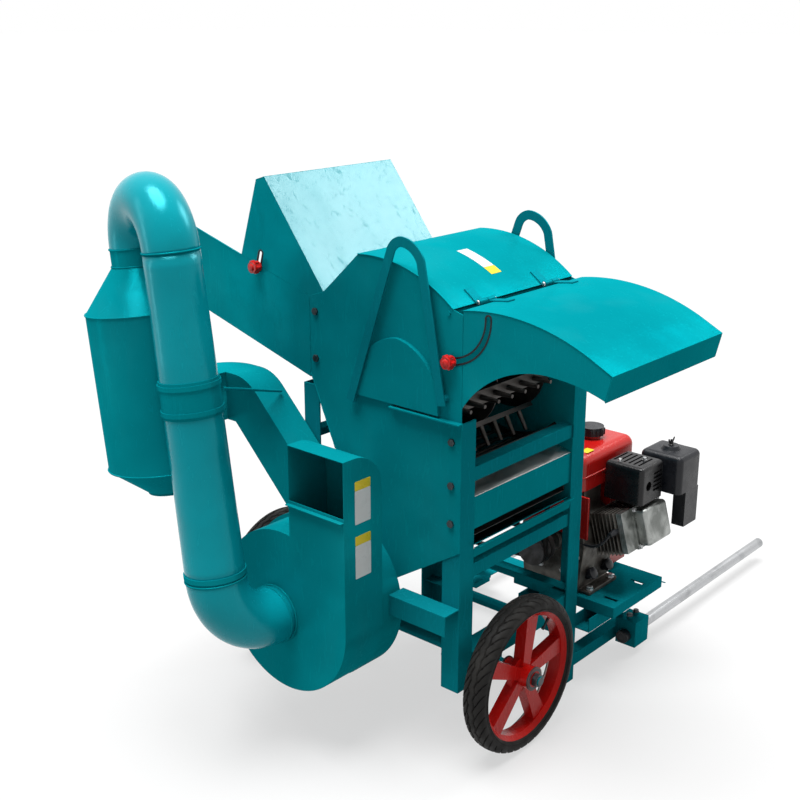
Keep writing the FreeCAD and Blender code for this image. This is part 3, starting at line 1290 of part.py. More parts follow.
def build_shafts():
    """The blower shaft with its wheels and auger, the threshing drum, bearings, pulleys and belts."""
    far_end = "blower_belt_y + pulley_width / 2 + shaft_end"
    start = FAN_FRONT + " + shaft_start"
    shaft = rod("Y", "shaft_x", start, "shaft_z", "shaft_radius", "%s - (%s)" % (far_end, start))
    node("blower_wheel", wheel_of_blades(FAN_FRONT + " + fan_wheel_gap", "fan_depth - fan_wheel_room",
                                         "fan_wheel_radius", "fan_hub_radius", 6, FAN_BACK + " - fan_disc_gap"))
    node("thrower_wheel", wheel_of_blades(FAN_BACK + " + thrower_gap", "thrower_depth - thrower_room",
                                          "thrower_radius - thrower_tip_gap", "thrower_hub_radius", 4,
                                          FAN_BACK + " + thrower_gap"))
    flights = []
    for turn in range(12):
        low = "-%s + auger_start + %d * auger_pitch" % (W, turn)
        disc = rod("Y", "shaft_x", low, "shaft_z", "auger_radius", "auger_disc")
        flights.append(cut(disc, rod("Y", "shaft_x", low + " - 1", "shaft_z", "shaft_radius", "auger_disc + 2")))
    node("auger_shaft", shaft, *flights)
    node("blower_pulley", pulley("shaft_x", "shaft_z", "blower_pulley_radius", ["blower_belt_y"], "shaft_radius"))

    drum_low = "-%s + drum_start" % W
    drum_end = "drum_belt_y + pulley_width / 2 + shaft_end"
    node("drum_shaft", rod("Y", "drum_x", "-%s - 1" % W, "drum_z", "drum_shaft_radius",
                           "%s + %s + 1" % (drum_end, W)))
    discs = []
    for share in ("0", "0.5", "1"):
        low = "%s + %s * (drum_length - drum_disc)" % (drum_low, share)
        discs.append(rod("Y", "drum_x", low, "drum_z", "drum_core_radius", "drum_disc"))
        discs.append(rod("Y", "drum_x", low + " - (drum_boss_length - drum_disc) * %s" % share, "drum_z",
                         "drum_shaft_radius + drum_boss", "drum_boss_length"))
    bore = rod("Y", "drum_x", "-%s" % W, "drum_z", "drum_shaft_radius", "2 * %s" % W)
    middle = FreeCAD.Vector(number("drum_x"), number(drum_low), number("drum_z"))
    for turn in range(6):
        angle = math.radians(60 * turn)
        out = X * math.cos(angle) + Z * math.sin(angle)
        across = Y.cross(out)
        bar = bind(doc.addObject("Part::Box", "Bar"), Height="drum_length", Length="bar_depth", Width="bar_face")
        bar.Placement = FreeCAD.Placement(
            middle + out * (number("drum_core_radius") - 2) - across * (number("bar_face") / 2),
            FreeCAD.Rotation(out, across, Y, "ZXY"))
        discs.append(bar)
        tip = "drum_tip_radius - drum_core_radius - bar_depth + 3"
        for step in range(7):
            tooth = bind(doc.addObject("Part::Cone", "Tooth"), Height=tip, Radius1="tooth_root", Radius2="tooth_tip")
            shift = (step + 0.5 * (turn % 2) + number("tooth_first")) * number("drum_length / tooth_rows")
            foot = middle + out * (number("drum_core_radius") + number("bar_depth") - 3) + Y * shift
            tooth.Placement = FreeCAD.Placement(foot, FreeCAD.Rotation(Z, out))
            discs.append(tooth)
    node("threshing_drum", cut(fuse(*discs), bore))
    node("drum_pulley", pulley("drum_x", "drum_z", "drum_pulley_radius", ["drum_belt_y"], "drum_shaft_radius"))

    bearings = []
    for low in ("-%s" % W, FAR + " - plate_wall - bearing_length"):
        ring = rod("Y", "drum_x", low, "drum_z", "bearing_radius", "bearing_length")
        near_end = low[0] == "-"
        ears = block("drum_x - bearing_radius - bearing_ear", "drum_x + bearing_radius + bearing_ear",
                     low if near_end else FAR + " - plate_wall - bearing_ear_wall",
                     "%s + bearing_ear_wall" % low if near_end else FAR + " - plate_wall",
                     "drum_z - bearing_ear_half", "drum_z + bearing_ear_half")
        bearings.append(cut(fuse(ring, ears), rod("Y", "drum_x", "%s - 1" % low, "drum_z",
                                                  "drum_shaft_radius + bearing_play", "bearing_length + 2")))
    carrier = cut(
        fuse(rod("Y", "shaft_x", FAR, "shaft_z", "carrier_radius", "bearing_length"),
             block("shaft_x - carrier_half", "shaft_x + carrier_half", FAR, FAR + " + bearing_ear_wall",
                   "shaft_z - carrier_rise", "shaft_z + carrier_rise")),
        rod("Y", "shaft_x", FAR + " - 1", "shaft_z", "shaft_radius + bearing_play", "bearing_length + 2"))
    node("shaft_bearings", *bearings, carrier)

    rods = []
    reach = "(drum_tip_radius + concave_gap + concave_rod_place)"
    for step in range(11):
        angle = math.radians(number("concave_first") + number("concave_step") * step)
        rods.append(rod("Y", "drum_x + %s * %.5f" % (reach, math.cos(angle)), "-%s + angle_wall + concave_wall" % W,
                        "drum_z + %s * %.5f" % (reach, math.sin(angle)), "concave_rod",
                        "%s + %s - angle_wall - plate_wall - 2 * concave_wall" % (W, FAR)))
    sides = []
    for low in ("-%s + angle_wall" % W, FAR + " - plate_wall - concave_wall"):
        ring = bind(doc.addObject("Part::Cylinder", "Ring"), Radius="drum_tip_radius + concave_gap + concave_side",
                    Height="concave_wall")
        hole = bind(doc.addObject("Part::Cylinder", "Hole"), Radius="drum_tip_radius + concave_gap",
                    Height="concave_wall")
        ring.Angle = number("concave_span")
        for item in (ring, hole):
            turn = FreeCAD.Rotation(X, 90).multiply(FreeCAD.Rotation(Z, number("concave_from")))
            item.Placement = FreeCAD.Placement(
                FreeCAD.Vector(number("drum_x"), number(low + " + concave_wall"), number("drum_z")), turn)
        sides.append(cut(ring, hole))
    node("concave", fuse(*sides, *rods))

    skin = "plate_wall"
    tray_end = L + " - sieve_end_gap"
    tray = cut(block("sieve_start_x", tray_end, "-%s + sieve_play" % W, FAR + " - plate_wall - sieve_play", "sieve_z",
                     "sieve_z + sieve_rim"),
               block("sieve_start_x + %s" % skin, tray_end + " + 1", "-%s + sieve_play + %s" % (W, skin),
                     FAR + " - plate_wall - sieve_play - %s" % skin, "sieve_z + %s" % skin, "sieve_z + sieve_rim + 1"))
    node("sieve_tray", tray)
    runners = []
    for face, sign in (("-%s" % W, 1), (FAR + " - plate_wall", -1)):
        runners.append(angle_bar("X", (face, "sieve_z - fit_gap"), (sign, -1), "runner_start_x",
                                 L + " - angle_leg - runner_end_gap", "sieve_runner", "plate_wall"))
    node("sieve_runners", *runners)

    node("engine_pulley", pulley("crank_x", "crank_z", "engine_pulley_radius", ["drum_belt_y", "blower_belt_y"],
                                 "crank_radius"),
         rod("Y", "crank_x", "drum_belt_y - pulley_width / 2", "crank_z", "crank_radius",
             "engine_y + crank_reach - drum_belt_y + pulley_width / 2"))
    node("drive_belts",
         belt("DrumBelt", ("drum_x", "drum_z", "drum_pulley_radius"),
              ("crank_x", "crank_z", "engine_pulley_radius"), "drum_belt_y"),
         belt("BlowerBelt", ("shaft_x", "shaft_z", "blower_pulley_radius"),
              ("crank_x", "crank_z", "engine_pulley_radius"), "blower_belt_y"))


def tilted(x0, x1, y0, y1, z0, z1):
    """A block in the cylinder's own frame: X runs out along the bore from the crank, Z across it."""
    item = bind(doc.addObject("Part::Box", "Barrel"), Length="(%s) - (%s)" % (x1, x0),
                Width="(%s) - (%s)" % (y1, y0), Height="(%s) - (%s)" % (z1, z0))
    turn = FreeCAD.Rotation(Y, -number("cylinder_tilt"))
    corner = FreeCAD.Vector(number(x0), 0, number(z0))
    crank = FreeCAD.Vector(number("crank_x"), number(y0), number("crank_z"))
    item.Placement = FreeCAD.Placement(crank + turn.multVec(corner), turn)
    return item


def build_engine():
    """The engine on its plate: crankcase, cylinder, covers, tank, air cleaner, muffler and starter."""
    left, right, front = "crank_x - plate_left", "crank_x + plate_right", "engine_y - plate_front"
    back = "engine_y + plate_reach"
    plate = block(left, right, front, back, "plate_top_z - plate_height", "plate_top_z")
    under = block(left + " + plate_skin", right + " - plate_skin", front + " + plate_skin", back + " - plate_skin",
                  "plate_top_z - plate_height - 1", "plate_top_z - plate_skin")
    slots = []
    for x in ("crank_x - 70", "crank_x - 10", "crank_x + 50", "crank_x + 130"):
        for y in ("engine_y + 24", "engine_y + 140"):
            slots.append(block(x, x + " + plate_slot", y, y + " + plate_slot_width", "plate_top_z - plate_skin - 1",
                               "plate_top_z + 1"))
    high = "plate_top_z - lip_start"
    lip = pad("Lip", "YZ", left, "plate_left + plate_right", [[
        (back, high), (back + " + lip_run", high + " - lip_fall"),
        (back + " + lip_run", high + " - lip_fall - plate_skin"), (back, high + " - plate_skin")]])
    node("engine_plate", cut(plate, under, *slots), lip)

    case_top = [("crank_x + case_radius", "crank_z"), ("crank_x - case_radius", "crank_z", "case_radius", 1)]
    case = pad("Case", "XZ", "engine_y", "case_depth", [[
        ("crank_x - case_radius + 10", "plate_top_z + flange_wall"),
        ("crank_x + case_radius - 10", "plate_top_z + flange_wall")] + case_top])
    feet = block("crank_x - foot_left", "crank_x + foot_right", "engine_y + 6", "engine_y + case_depth - 5",
                 "plate_top_z", "plate_top_z + flange_wall")
    boss = rod("Y", "crank_x", "engine_y - boss_reach", "crank_z", "boss_radius", "boss_reach + 2")
    carriers = [block("crank_x + (%s) - 8" % off, "crank_x + (%s) + 8" % off, "engine_y + 40", "engine_y + 110",
                      "crank_z + 60", "tank_floor") for off in ("-50", "50")]
    bore = rod("Y", "crank_x", "engine_y - boss_reach - 1", "crank_z", "crank_radius + bearing_play",
               "crank_reach + boss_reach + 2")
    node("crankcase", cut(fuse(case, feet, boss, *carriers), bore))

    barrel = tilted("case_radius + 2", "barrel_end", "cylinder_y - barrel_reach", "cylinder_y + barrel_reach",
                    "-barrel_half", "barrel_half")
    fins = []
    for step in range(int(number("fin_count"))):
        low = "case_radius + fin_first + %d * fin_pitch" % step
        fins.append(tilted(low, low + " + fin_wall", "cylinder_y - fin_reach", "cylinder_y + fin_reach", "-fin_half",
                           "fin_half"))
    neck = cut(tilted("70", "case_radius + 3", "cylinder_y - 50", "cylinder_y + 19", "-36", "36"),
               rod("Y", "crank_x", "engine_y - 1", "crank_z", "case_radius", "case_depth + 2"))
    head = tilted("head_start", "head_end", "cylinder_y - head_reach", "cylinder_y + head_reach", "-fin_half + 2",
                  "fin_half - 2")
    node("cylinder", fuse(barrel, neck, head, *fins))
    cover = rounded(tilted("head_end", "cover_end", "cylinder_y - cover_low", "cylinder_y + cover_high",
                           "-cover_half", "cover_half"), 10, lambda edge, middle: True)
    rim = tilted("head_end", "head_end + cover_rim", "cylinder_y - cover_low - 6", "cylinder_y + cover_high + 4",
                 "-cover_half - cover_rim", "cover_half + cover_rim")
    node("valve_cover", fuse(rim, cover))

    shell = block("crank_x + muffler_left", "crank_x + muffler_right", "cylinder_y - muffler_low_y",
                  "cylinder_y + muffler_high_y", "crank_z + muffler_foot", "crank_z + muffler_top")
    box = rounded(shell, number("muffler_round"),
                  lambda edge, middle: middle.z > number("crank_z + muffler_foot") + 5)
    vents = []
    for step in range(6):
        low = "crank_x + muffler_left + 12 + %d * vent_pitch" % step
        vents.append(block(low, low + " + vent_width", "cylinder_y - 10", "cylinder_y + 50",
                           "crank_z + muffler_top - 4", "crank_z + muffler_top + 1"))
    for step in range(5):
        low = "crank_z + muffler_foot + 23 + %d * vent_side_pitch" % step
        vents.append(block("crank_x + muffler_right - 4", "crank_x + muffler_right + 1", "cylinder_y + 22",
                           "cylinder_y + 60", low, low + " + vent_width"))
    outlet = rod("X", "crank_x + muffler_right - 14", "cylinder_y + 2", "crank_z + muffler_foot + 41",
                 "outlet_radius", "16")
    pipe = cut(tilted("159", "172", "cylinder_y - 12", "cylinder_y + 30", "fin_half - 2", "fin_half + 20"), shell)
    node("muffler", cut(box, outlet, *vents), pipe)

    throat = block("crank_x + 78", "crank_x + 148", "cylinder_y + 74", "cylinder_y + 118",
                   "crank_z + 40 + bowl_depth", "crank_z + cleaner_foot")
    node("carburettor", throat,
         rod("Z", "crank_x + 112", "cylinder_y + 96", "crank_z + 40", "bowl_radius", "bowl_depth"),
         tilted("159", "172", "cylinder_y + 66", "cylinder_y + 74", "20", "fin_half - 2"))
    shell = block("crank_x + cleaner_left", "crank_x + cleaner_right", "cylinder_y + cleaner_low_y",
                  "cylinder_y + cleaner_high_y", "crank_z + cleaner_foot", "crank_z + cleaner_top")
    body = rounded(shell, number("cleaner_round"),
                   lambda edge, middle: middle.z > number("crank_z + cleaner_foot") + 3)
    skirt = block("crank_x + cleaner_right - 34", "crank_x + cleaner_right - 2", "cylinder_y + cleaner_high_y - 62",
                  "cylinder_y + cleaner_high_y - 2", "crank_z + 20", "crank_z + cleaner_foot")
    crown = cone("Z", "crank_x + 165", "cylinder_y + 125", "crank_z + cleaner_top", "24", "18", "9")
    node("air_cleaner", fuse(body, skirt, crown))

    shell = block("crank_x - tank_left", "crank_x + tank_right", "engine_y + tank_low_y", "engine_y + tank_high_y",
                  "tank_floor", "tank_top")
    tank = rounded(shell, number("tank_round"), lambda edge, middle: middle.z > number("tank_floor") + 1)
    seat_rim = rod("Z", "crank_x", "engine_y + filler_y", "tank_top - 1", "22", "9")
    node("fuel_tank", fuse(tank, seat_rim))
    cap = [rod("Z", "crank_x", "engine_y + filler_y", "tank_top + cap_gap", "cap_radius", "cap_depth")]
    for turn in range(12):
        angle = math.radians(30 * turn)
        cap.append(rod("Z", "crank_x + (cap_radius - 1) * %.5f" % math.cos(angle),
                       "engine_y + filler_y + (cap_radius - 1) * %.5f" % math.sin(angle), "tank_top + 9", "4", "15"))
    node("fuel_cap", fuse(*cap))

    node("engine_shroud",
         block("crank_x - 100", "crank_x + 98", "engine_y - 6", "engine_y - 0.3", "crank_z + 26.5", "tank_floor"),
         pad("Shroud", "XZ", "engine_y + case_depth", "shroud_depth", [[
             ("crank_x - 92", "plate_top_z + 18"), ("crank_x + 72", "plate_top_z + 18"),
             ("crank_x + 72", "tank_floor - 30"), ("crank_x + 52", "tank_floor"),
             ("crank_x - 78", "tank_floor"), ("crank_x - 92", "tank_floor - 44")]]))
    back = "engine_y + case_depth + shroud_depth"
    face = back + " + starter_depth"
    starter = [cone("Y", "crank_x", back, "crank_z", "starter_foot", "starter_face", "starter_depth"),
               rod("Y", "crank_x", face, "crank_z", "20", "8")]
    grip = rounded(block("crank_x + 20", "crank_x + 76", face, face + " + 15", "crank_z + 50", "crank_z + 66"), 6,
                   lambda edge, middle: True)
    node("recoil_starter", *starter, grip)


def build_rods():
    """The two pull rods, their clamps on the floor rails, and the frame bolts."""
    clamps = []
    for sign in (1, -1):
        inner, outer = ("frame_half_length", "rod_x + clamp_width") if sign > 0 else (
            "-rod_x - clamp_width", "-frame_half_length")
        body = block(inner, outer, "rod_start_y + rod_cap", "rod_start_y + rod_cap + clamp_length",
                     "rod_z - clamp_width", "rod_z + clamp_height")
        bore = rod("Y", "%d * rod_x" % sign, "rod_start_y + rod_cap - 1", "rod_z", "rod_radius + bearing_play",
                   "clamp_length + 2")
        clamps.append(cut(body, bore))
        for along in ("clamp_bolt_first", "clamp_bolt_second"):
            clamps.append(rod("Z", "%d * rod_x" % sign, "rod_start_y + rod_cap + %s" % along, "rod_z + clamp_height",
                              "bolt_radius - 1", "clamp_bolt_height"))
        label = "near_pull_rod" if sign > 0 else "far_pull_rod"
        start = "rod_start_y + rod_cap - fit_gap"
        node(label, rod("Y", "%d * rod_x" % sign, start, "rod_z", "rod_radius", "rod_length - rod_cap + fit_gap"),
             rod("Y", "%d * rod_x" % sign, "rod_start_y", "rod_z", "rod_radius + cap_wall", "rod_cap - fit_gap"))
    node("rod_clamps", *clamps)

    heads = []
    front, rear = "frame_half_length - front_bolt_inset", "wall_x + rear_bolt_inset"
    for x, z in ((front, "bolt_low_z"), (front, "bolt_middle_z"), (front, "bolt_high_z"), (rear, "rear_bolt_low_z"),
                 (rear, "rear_bolt_high_z")):
        for low in (NEAR + " - head_height", FAR):
            if low == FAR and x != rear:
                continue
            head = bind(doc.addObject("Part::Prism", "Bolt"), Circumradius="bolt_radius", Height="head_height")
            head.Polygon = 6
            heads.append(seat(head, x, low, z, "Y"))
    node("frame_bolts", *heads)


build_frame()
wheel("near", "near_wheel_x")
wheel("far", "far_wheel_x")
build_body()
build_top()
build_blower()
build_shafts()
build_engine()
build_rods()


def finish():
    """Check every object, move the origin under the middle of the box and write the parts."""
    doc.recompute()
    failed = [item.Name for item in doc.Objects if "Invalid" in item.State or "Error" in item.State]
    if failed:
        raise SystemExit("failed objects: " + ", ".join(failed))
    box = FreeCAD.BoundBox()
    for item in NODES:
        if item.Shape.isNull() or not item.Shape.isValid() or not item.Shape.Solids:
            raise SystemExit("bad shape: " + item.Label)
        box.add(item.Shape.optimalBoundingBox(False))
    shift = FreeCAD.Placement(FreeCAD.Vector(-box.Center.x, -box.Center.y, 0), FreeCAD.Rotation())
    os.makedirs("parts", exist_ok=True)
    for item in NODES:
        item.Placement = shift.multiply(item.Placement)
        item.Shape.exportStep("parts/%s.step" % item.Label)
    print("parts", len(NODES), "box", box, "origin moved", shift.Base)


finish()
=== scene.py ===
"""Looks of the grain thresher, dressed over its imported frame.

Lengths in the classes are millimetres in the machine's own frame: X towards the straw outlet, Y towards the
engine and Z up from the ground. spots() turns them into metres in the part's frame.
"""
import json
import logging
import math
from collections.abc import Callable, Sequence
from dataclasses import dataclass
from enum import Enum

import bmesh
import bpy
import numpy as np
from mathutils import Euler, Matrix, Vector


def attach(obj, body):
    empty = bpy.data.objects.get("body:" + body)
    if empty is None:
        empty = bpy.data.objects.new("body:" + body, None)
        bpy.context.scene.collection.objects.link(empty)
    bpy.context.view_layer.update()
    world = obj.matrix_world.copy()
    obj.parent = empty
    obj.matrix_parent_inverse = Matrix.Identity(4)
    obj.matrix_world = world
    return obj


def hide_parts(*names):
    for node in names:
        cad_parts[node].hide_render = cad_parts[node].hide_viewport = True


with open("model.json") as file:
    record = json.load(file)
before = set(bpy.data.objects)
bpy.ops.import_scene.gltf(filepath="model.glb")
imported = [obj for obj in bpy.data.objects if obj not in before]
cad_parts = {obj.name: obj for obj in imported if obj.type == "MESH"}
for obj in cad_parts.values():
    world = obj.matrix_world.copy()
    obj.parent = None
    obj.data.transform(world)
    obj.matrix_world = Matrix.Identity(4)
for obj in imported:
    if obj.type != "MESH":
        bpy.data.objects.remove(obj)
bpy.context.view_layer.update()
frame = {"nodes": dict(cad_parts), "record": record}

log = logging.getLogger("thresher")
MOVE = np.array([30.138878, -248.898197, 0.0])
Colour = tuple[float, float, float]
Spot = tuple[float, float, float]

BODY_OF = {node: body for body, nodes in frame["record"]["behaviour"]["bodies"].items() for node in nodes}


class Axis(Enum):
    """An axis of the machine, as the unit vector along it."""

    X = (1.0, 0.0, 0.0)
    Y = (0.0, 1.0, 0.0)
    Z = (0.0, 0.0, 1.0)


class Side(Enum):
    """The two long sides of the machine; the near one faces the viewer."""

    NEAR = "near"
    FAR = "far"


def spots(points: Sequence | np.ndarray) -> np.ndarray:
    """Places in the part's frame: (machine millimetres + move) / 1000."""
    return (np.asarray(points, float) + MOVE) / 1000.0


# Shapes as whole arrays


@dataclass
class Shape:
    """Corner points in machine millimetres and the quads between them."""

    points: np.ndarray
    quads: np.ndarray

    @staticmethod
    def joined(shapes: Sequence["Shape"]) -> "Shape":
        """One shape of several, each one's quads counted on from the points before it."""
        counts = np.cumsum([0] + [len(shape.points) for shape in shapes])
        quads = [shape.quads + start for shape, start in zip(shapes, counts)]
        return Shape(np.concatenate([shape.points for shape in shapes]), np.concatenate(quads))


def grid_quads(rows: int, columns: int, wrap_rows: bool, wrap_columns: bool) -> np.ndarray:
    """Quads of a grid of points, where a wrapped side joins its last line to its first.

    Args:
        rows: lines of points.
        columns: points in a line.
        wrap_rows: whether the last line joins the first.
        wrap_columns: whether each line is a ring.

    Returns:
        An array of four point numbers for each quad.
    """
    last_row, last_column = rows - (not wrap_rows), columns - (not wrap_columns)
    row, column = np.meshgrid(np.arange(last_row), np.arange(last_column), indexing="ij")
    next_row, next_column = (row + 1) % rows, (column + 1) % columns
    corners = (row * columns + column, row * columns + next_column,
               next_row * columns + next_column, next_row * columns + column)
    return np.stack(corners, -1).reshape(-1, 4)


def unit(vectors: np.ndarray) -> np.ndarray:
    """Vectors divided by their own lengths."""
    return vectors / np.maximum(np.linalg.norm(vectors, axis=-1, keepdims=True), 1e-9)


def square_to(axes: np.ndarray) -> tuple[np.ndarray, np.ndarray]:
    """Two directions square to each axis: a cross with the machine axis it leans on least, and the cross of both."""
    helpers = np.eye(3)[np.argmin(np.abs(axes), axis=-1)]
    first = unit(np.cross(helpers, axes))
    return first, np.cross(axes, first)


def turned(profile: Sequence, centre: Spot, axis: Sequence, steps: int = 32, closed: bool = False) -> Shape:
    """A profile turned about an axis: p(i, a) = centre + along(i) axis + radius(i) (cos a u + sin a v).

    Args:
        profile: pairs of radius and place along the axis.
        centre: a point on the axis.
        axis: the direction of the axis.
        steps: places round the turn.
        closed: whether the profile's last point joins its first.

    Returns:
        The turned shape.
    """
    line = np.asarray(profile, float)
    out = unit(np.asarray(axis, float))
    first, second = square_to(out[None])
    angle = np.linspace(0, 2 * math.pi, steps, endpoint=False)[None, :, None]
    ring = np.cos(angle) * first[0] + np.sin(angle) * second[0]
    points = np.asarray(centre, float) + line[:, 1, None, None] * out + line[:, 0, None, None] * ring
    return Shape(points.reshape(-1, 3), grid_quads(len(line), steps, closed, True))


def swept(path: Sequence | np.ndarray, radius: float | np.ndarray, sides: int = 10, closed: bool = False,
          flat: float = 1.0) -> Shape:
    """A round section carried along a plane path: p(i, a) = path(i) + radius(i) (cos a n(i) + flat sin a b).

    The direction b is square to the plane that lies closest to the path, and n(i) is square to b and the path.

    Args:
        path: points along the middle.
        radius: one radius, or one for each point.
        sides: points round the section.
        closed: whether the path is a ring.
        flat: how much of the radius the section has along b.

    Returns:
        The swept shape, its ends closed to a point where the path is open.
    """
    line = np.asarray(path, float)
    radii = np.broadcast_to(np.asarray(radius, float), (len(line),)).copy()
    ahead = np.roll(line, -1, 0) - np.roll(line, 1, 0) if closed else np.gradient(line, axis=0)
    ahead = unit(ahead)
    across = np.linalg.svd(line - line.mean(0))[2][2]
    outward = unit(np.cross(ahead, across))
    if not closed:
        line, radii = np.concatenate([line[:1], line, line[-1:]]), np.concatenate([[0.0], radii, [0.0]])
        outward = np.concatenate([outward[:1], outward, outward[-1:]])
    angle = np.linspace(0, 2 * math.pi, sides, endpoint=False)[None, :, None]
    ring = np.cos(angle) * outward[:, None] + flat * np.sin(angle) * across
    points = line[:, None] + radii[:, None, None] * ring
    return Shape(points.reshape(-1, 3), grid_quads(len(line), sides, closed, True))


def scattered(shape: Shape, places: Sequence, axes: Sequence, spin: float = 0.0) -> Shape:
    """Copies of a shape, its own Z laid along each axis: p(k) = place(k) + x u(k) + y v(k) + z axis(k)."""
    where = np.asarray(places, float).reshape(-1, 3)
    out = unit(np.broadcast_to(np.asarray(axes, float), where.shape))
    first, second = square_to(out)
    turn = np.arange(len(where))[:, None] * spin
    across, along = np.cos(turn) * first + np.sin(turn) * second, np.cos(turn) * second - np.sin(turn) * first
    frames = np.stack([across, along, out], 1)
    points = where[:, None] + np.einsum("pj,kjc->kpc", shape.points, frames)
    steps = np.arange(len(where))[:, None, None] * len(shape.points)
    return Shape(points.reshape(-1, 3), (shape.quads[None] + steps).reshape(-1, 4))


def hex_head(across: float, tall: float, washer: float) -> Shape:
    """A hexagon head on a washer: its radius is across / 2 / cos of the angle from the nearest flat's middle."""
    angle = np.linspace(0, 2 * math.pi, 12, endpoint=False)
    corner = across / 2 / np.cos(np.mod(angle, math.pi / 3) - math.pi / 6)
    flat_ring = np.ones(12)
    radii = np.stack([0 * flat_ring, washer * flat_ring, washer * flat_ring, corner, corner,
                      0.43 * across * flat_ring, 0 * flat_ring])
    heights = np.array([-0.3, -0.3, 1.3, 1.3, tall * 0.86, tall, tall])[:, None] * flat_ring
    points = np.stack([radii * np.cos(angle), radii * np.sin(angle), heights], -1)
    return Shape(points.reshape(-1, 3), grid_quads(7, 12, False, True))


def slab(size: Sequence[float], corner: float, steps: int = 6) -> Shape:
    """A plate with round corners, its middle at the origin: a rounded rectangle at the bottom and at the top.

    Args:
        size: width, height and thickness.
        corner: the corners' radius.
        steps: points in each corner.

    Returns:
        The plate, thickness along Z.
    """
    quarter = np.linspace(0, math.pi / 2, steps)
    angle = (quarter[None] + np.arange(4)[:, None] * math.pi / 2).ravel()
    sign_x, sign_y = np.repeat([1, -1, -1, 1], steps), np.repeat([1, 1, -1, -1], steps)
    x = sign_x * (size[0] / 2 - corner) + corner * np.cos(angle)
    y = sign_y * (size[1] / 2 - corner) + corner * np.sin(angle)
    ease = min(size[2] * 0.3, corner * 0.5)
    grow = np.array([0.0, 1 - 2 * ease / size[0], 1.0, 1.0, 1 - 2 * ease / size[0], 0.0])[:, None]
    level = np.array([-0.5, -0.5, -0.5 + ease / size[2], 0.5 - ease / size[2], 0.5, 0.5])[:, None] * size[2]
    points = np.stack([grow * x, grow * y, level + 0 * x], -1)
    return Shape(points.reshape(-1, 3), grid_quads(6, len(x), False, True))


def arc_points(centre: Spot, radius: float, start: float, end: float, first: Sequence, second: Sequence,
               count: int = 40) -> np.ndarray:
    """Points of an arc: centre + radius (cos a first + sin a second), a in degrees from start to end."""
    angle = np.radians(np.linspace(start, end, count))[:, None]
    ring = np.cos(angle) * np.asarray(first) + np.sin(angle) * np.asarray(second)
    return np.asarray(centre, float) + radius * ring


def run_points(*corners: Spot, gap: float = 6.0) -> np.ndarray:
    """Points along straight runs between corners, about a gap apart."""
    stops = np.asarray(corners, float)
    lengths = np.linalg.norm(np.diff(stops, axis=0), axis=1)
    far = np.concatenate([[0.0], np.cumsum(lengths)])
    at = np.linspace(0.0, far[-1], max(2, int(far[-1] / gap)))
    return np.stack([np.interp(at, far, stops[:, k]) for k in range(3)], -1)


# Finishes


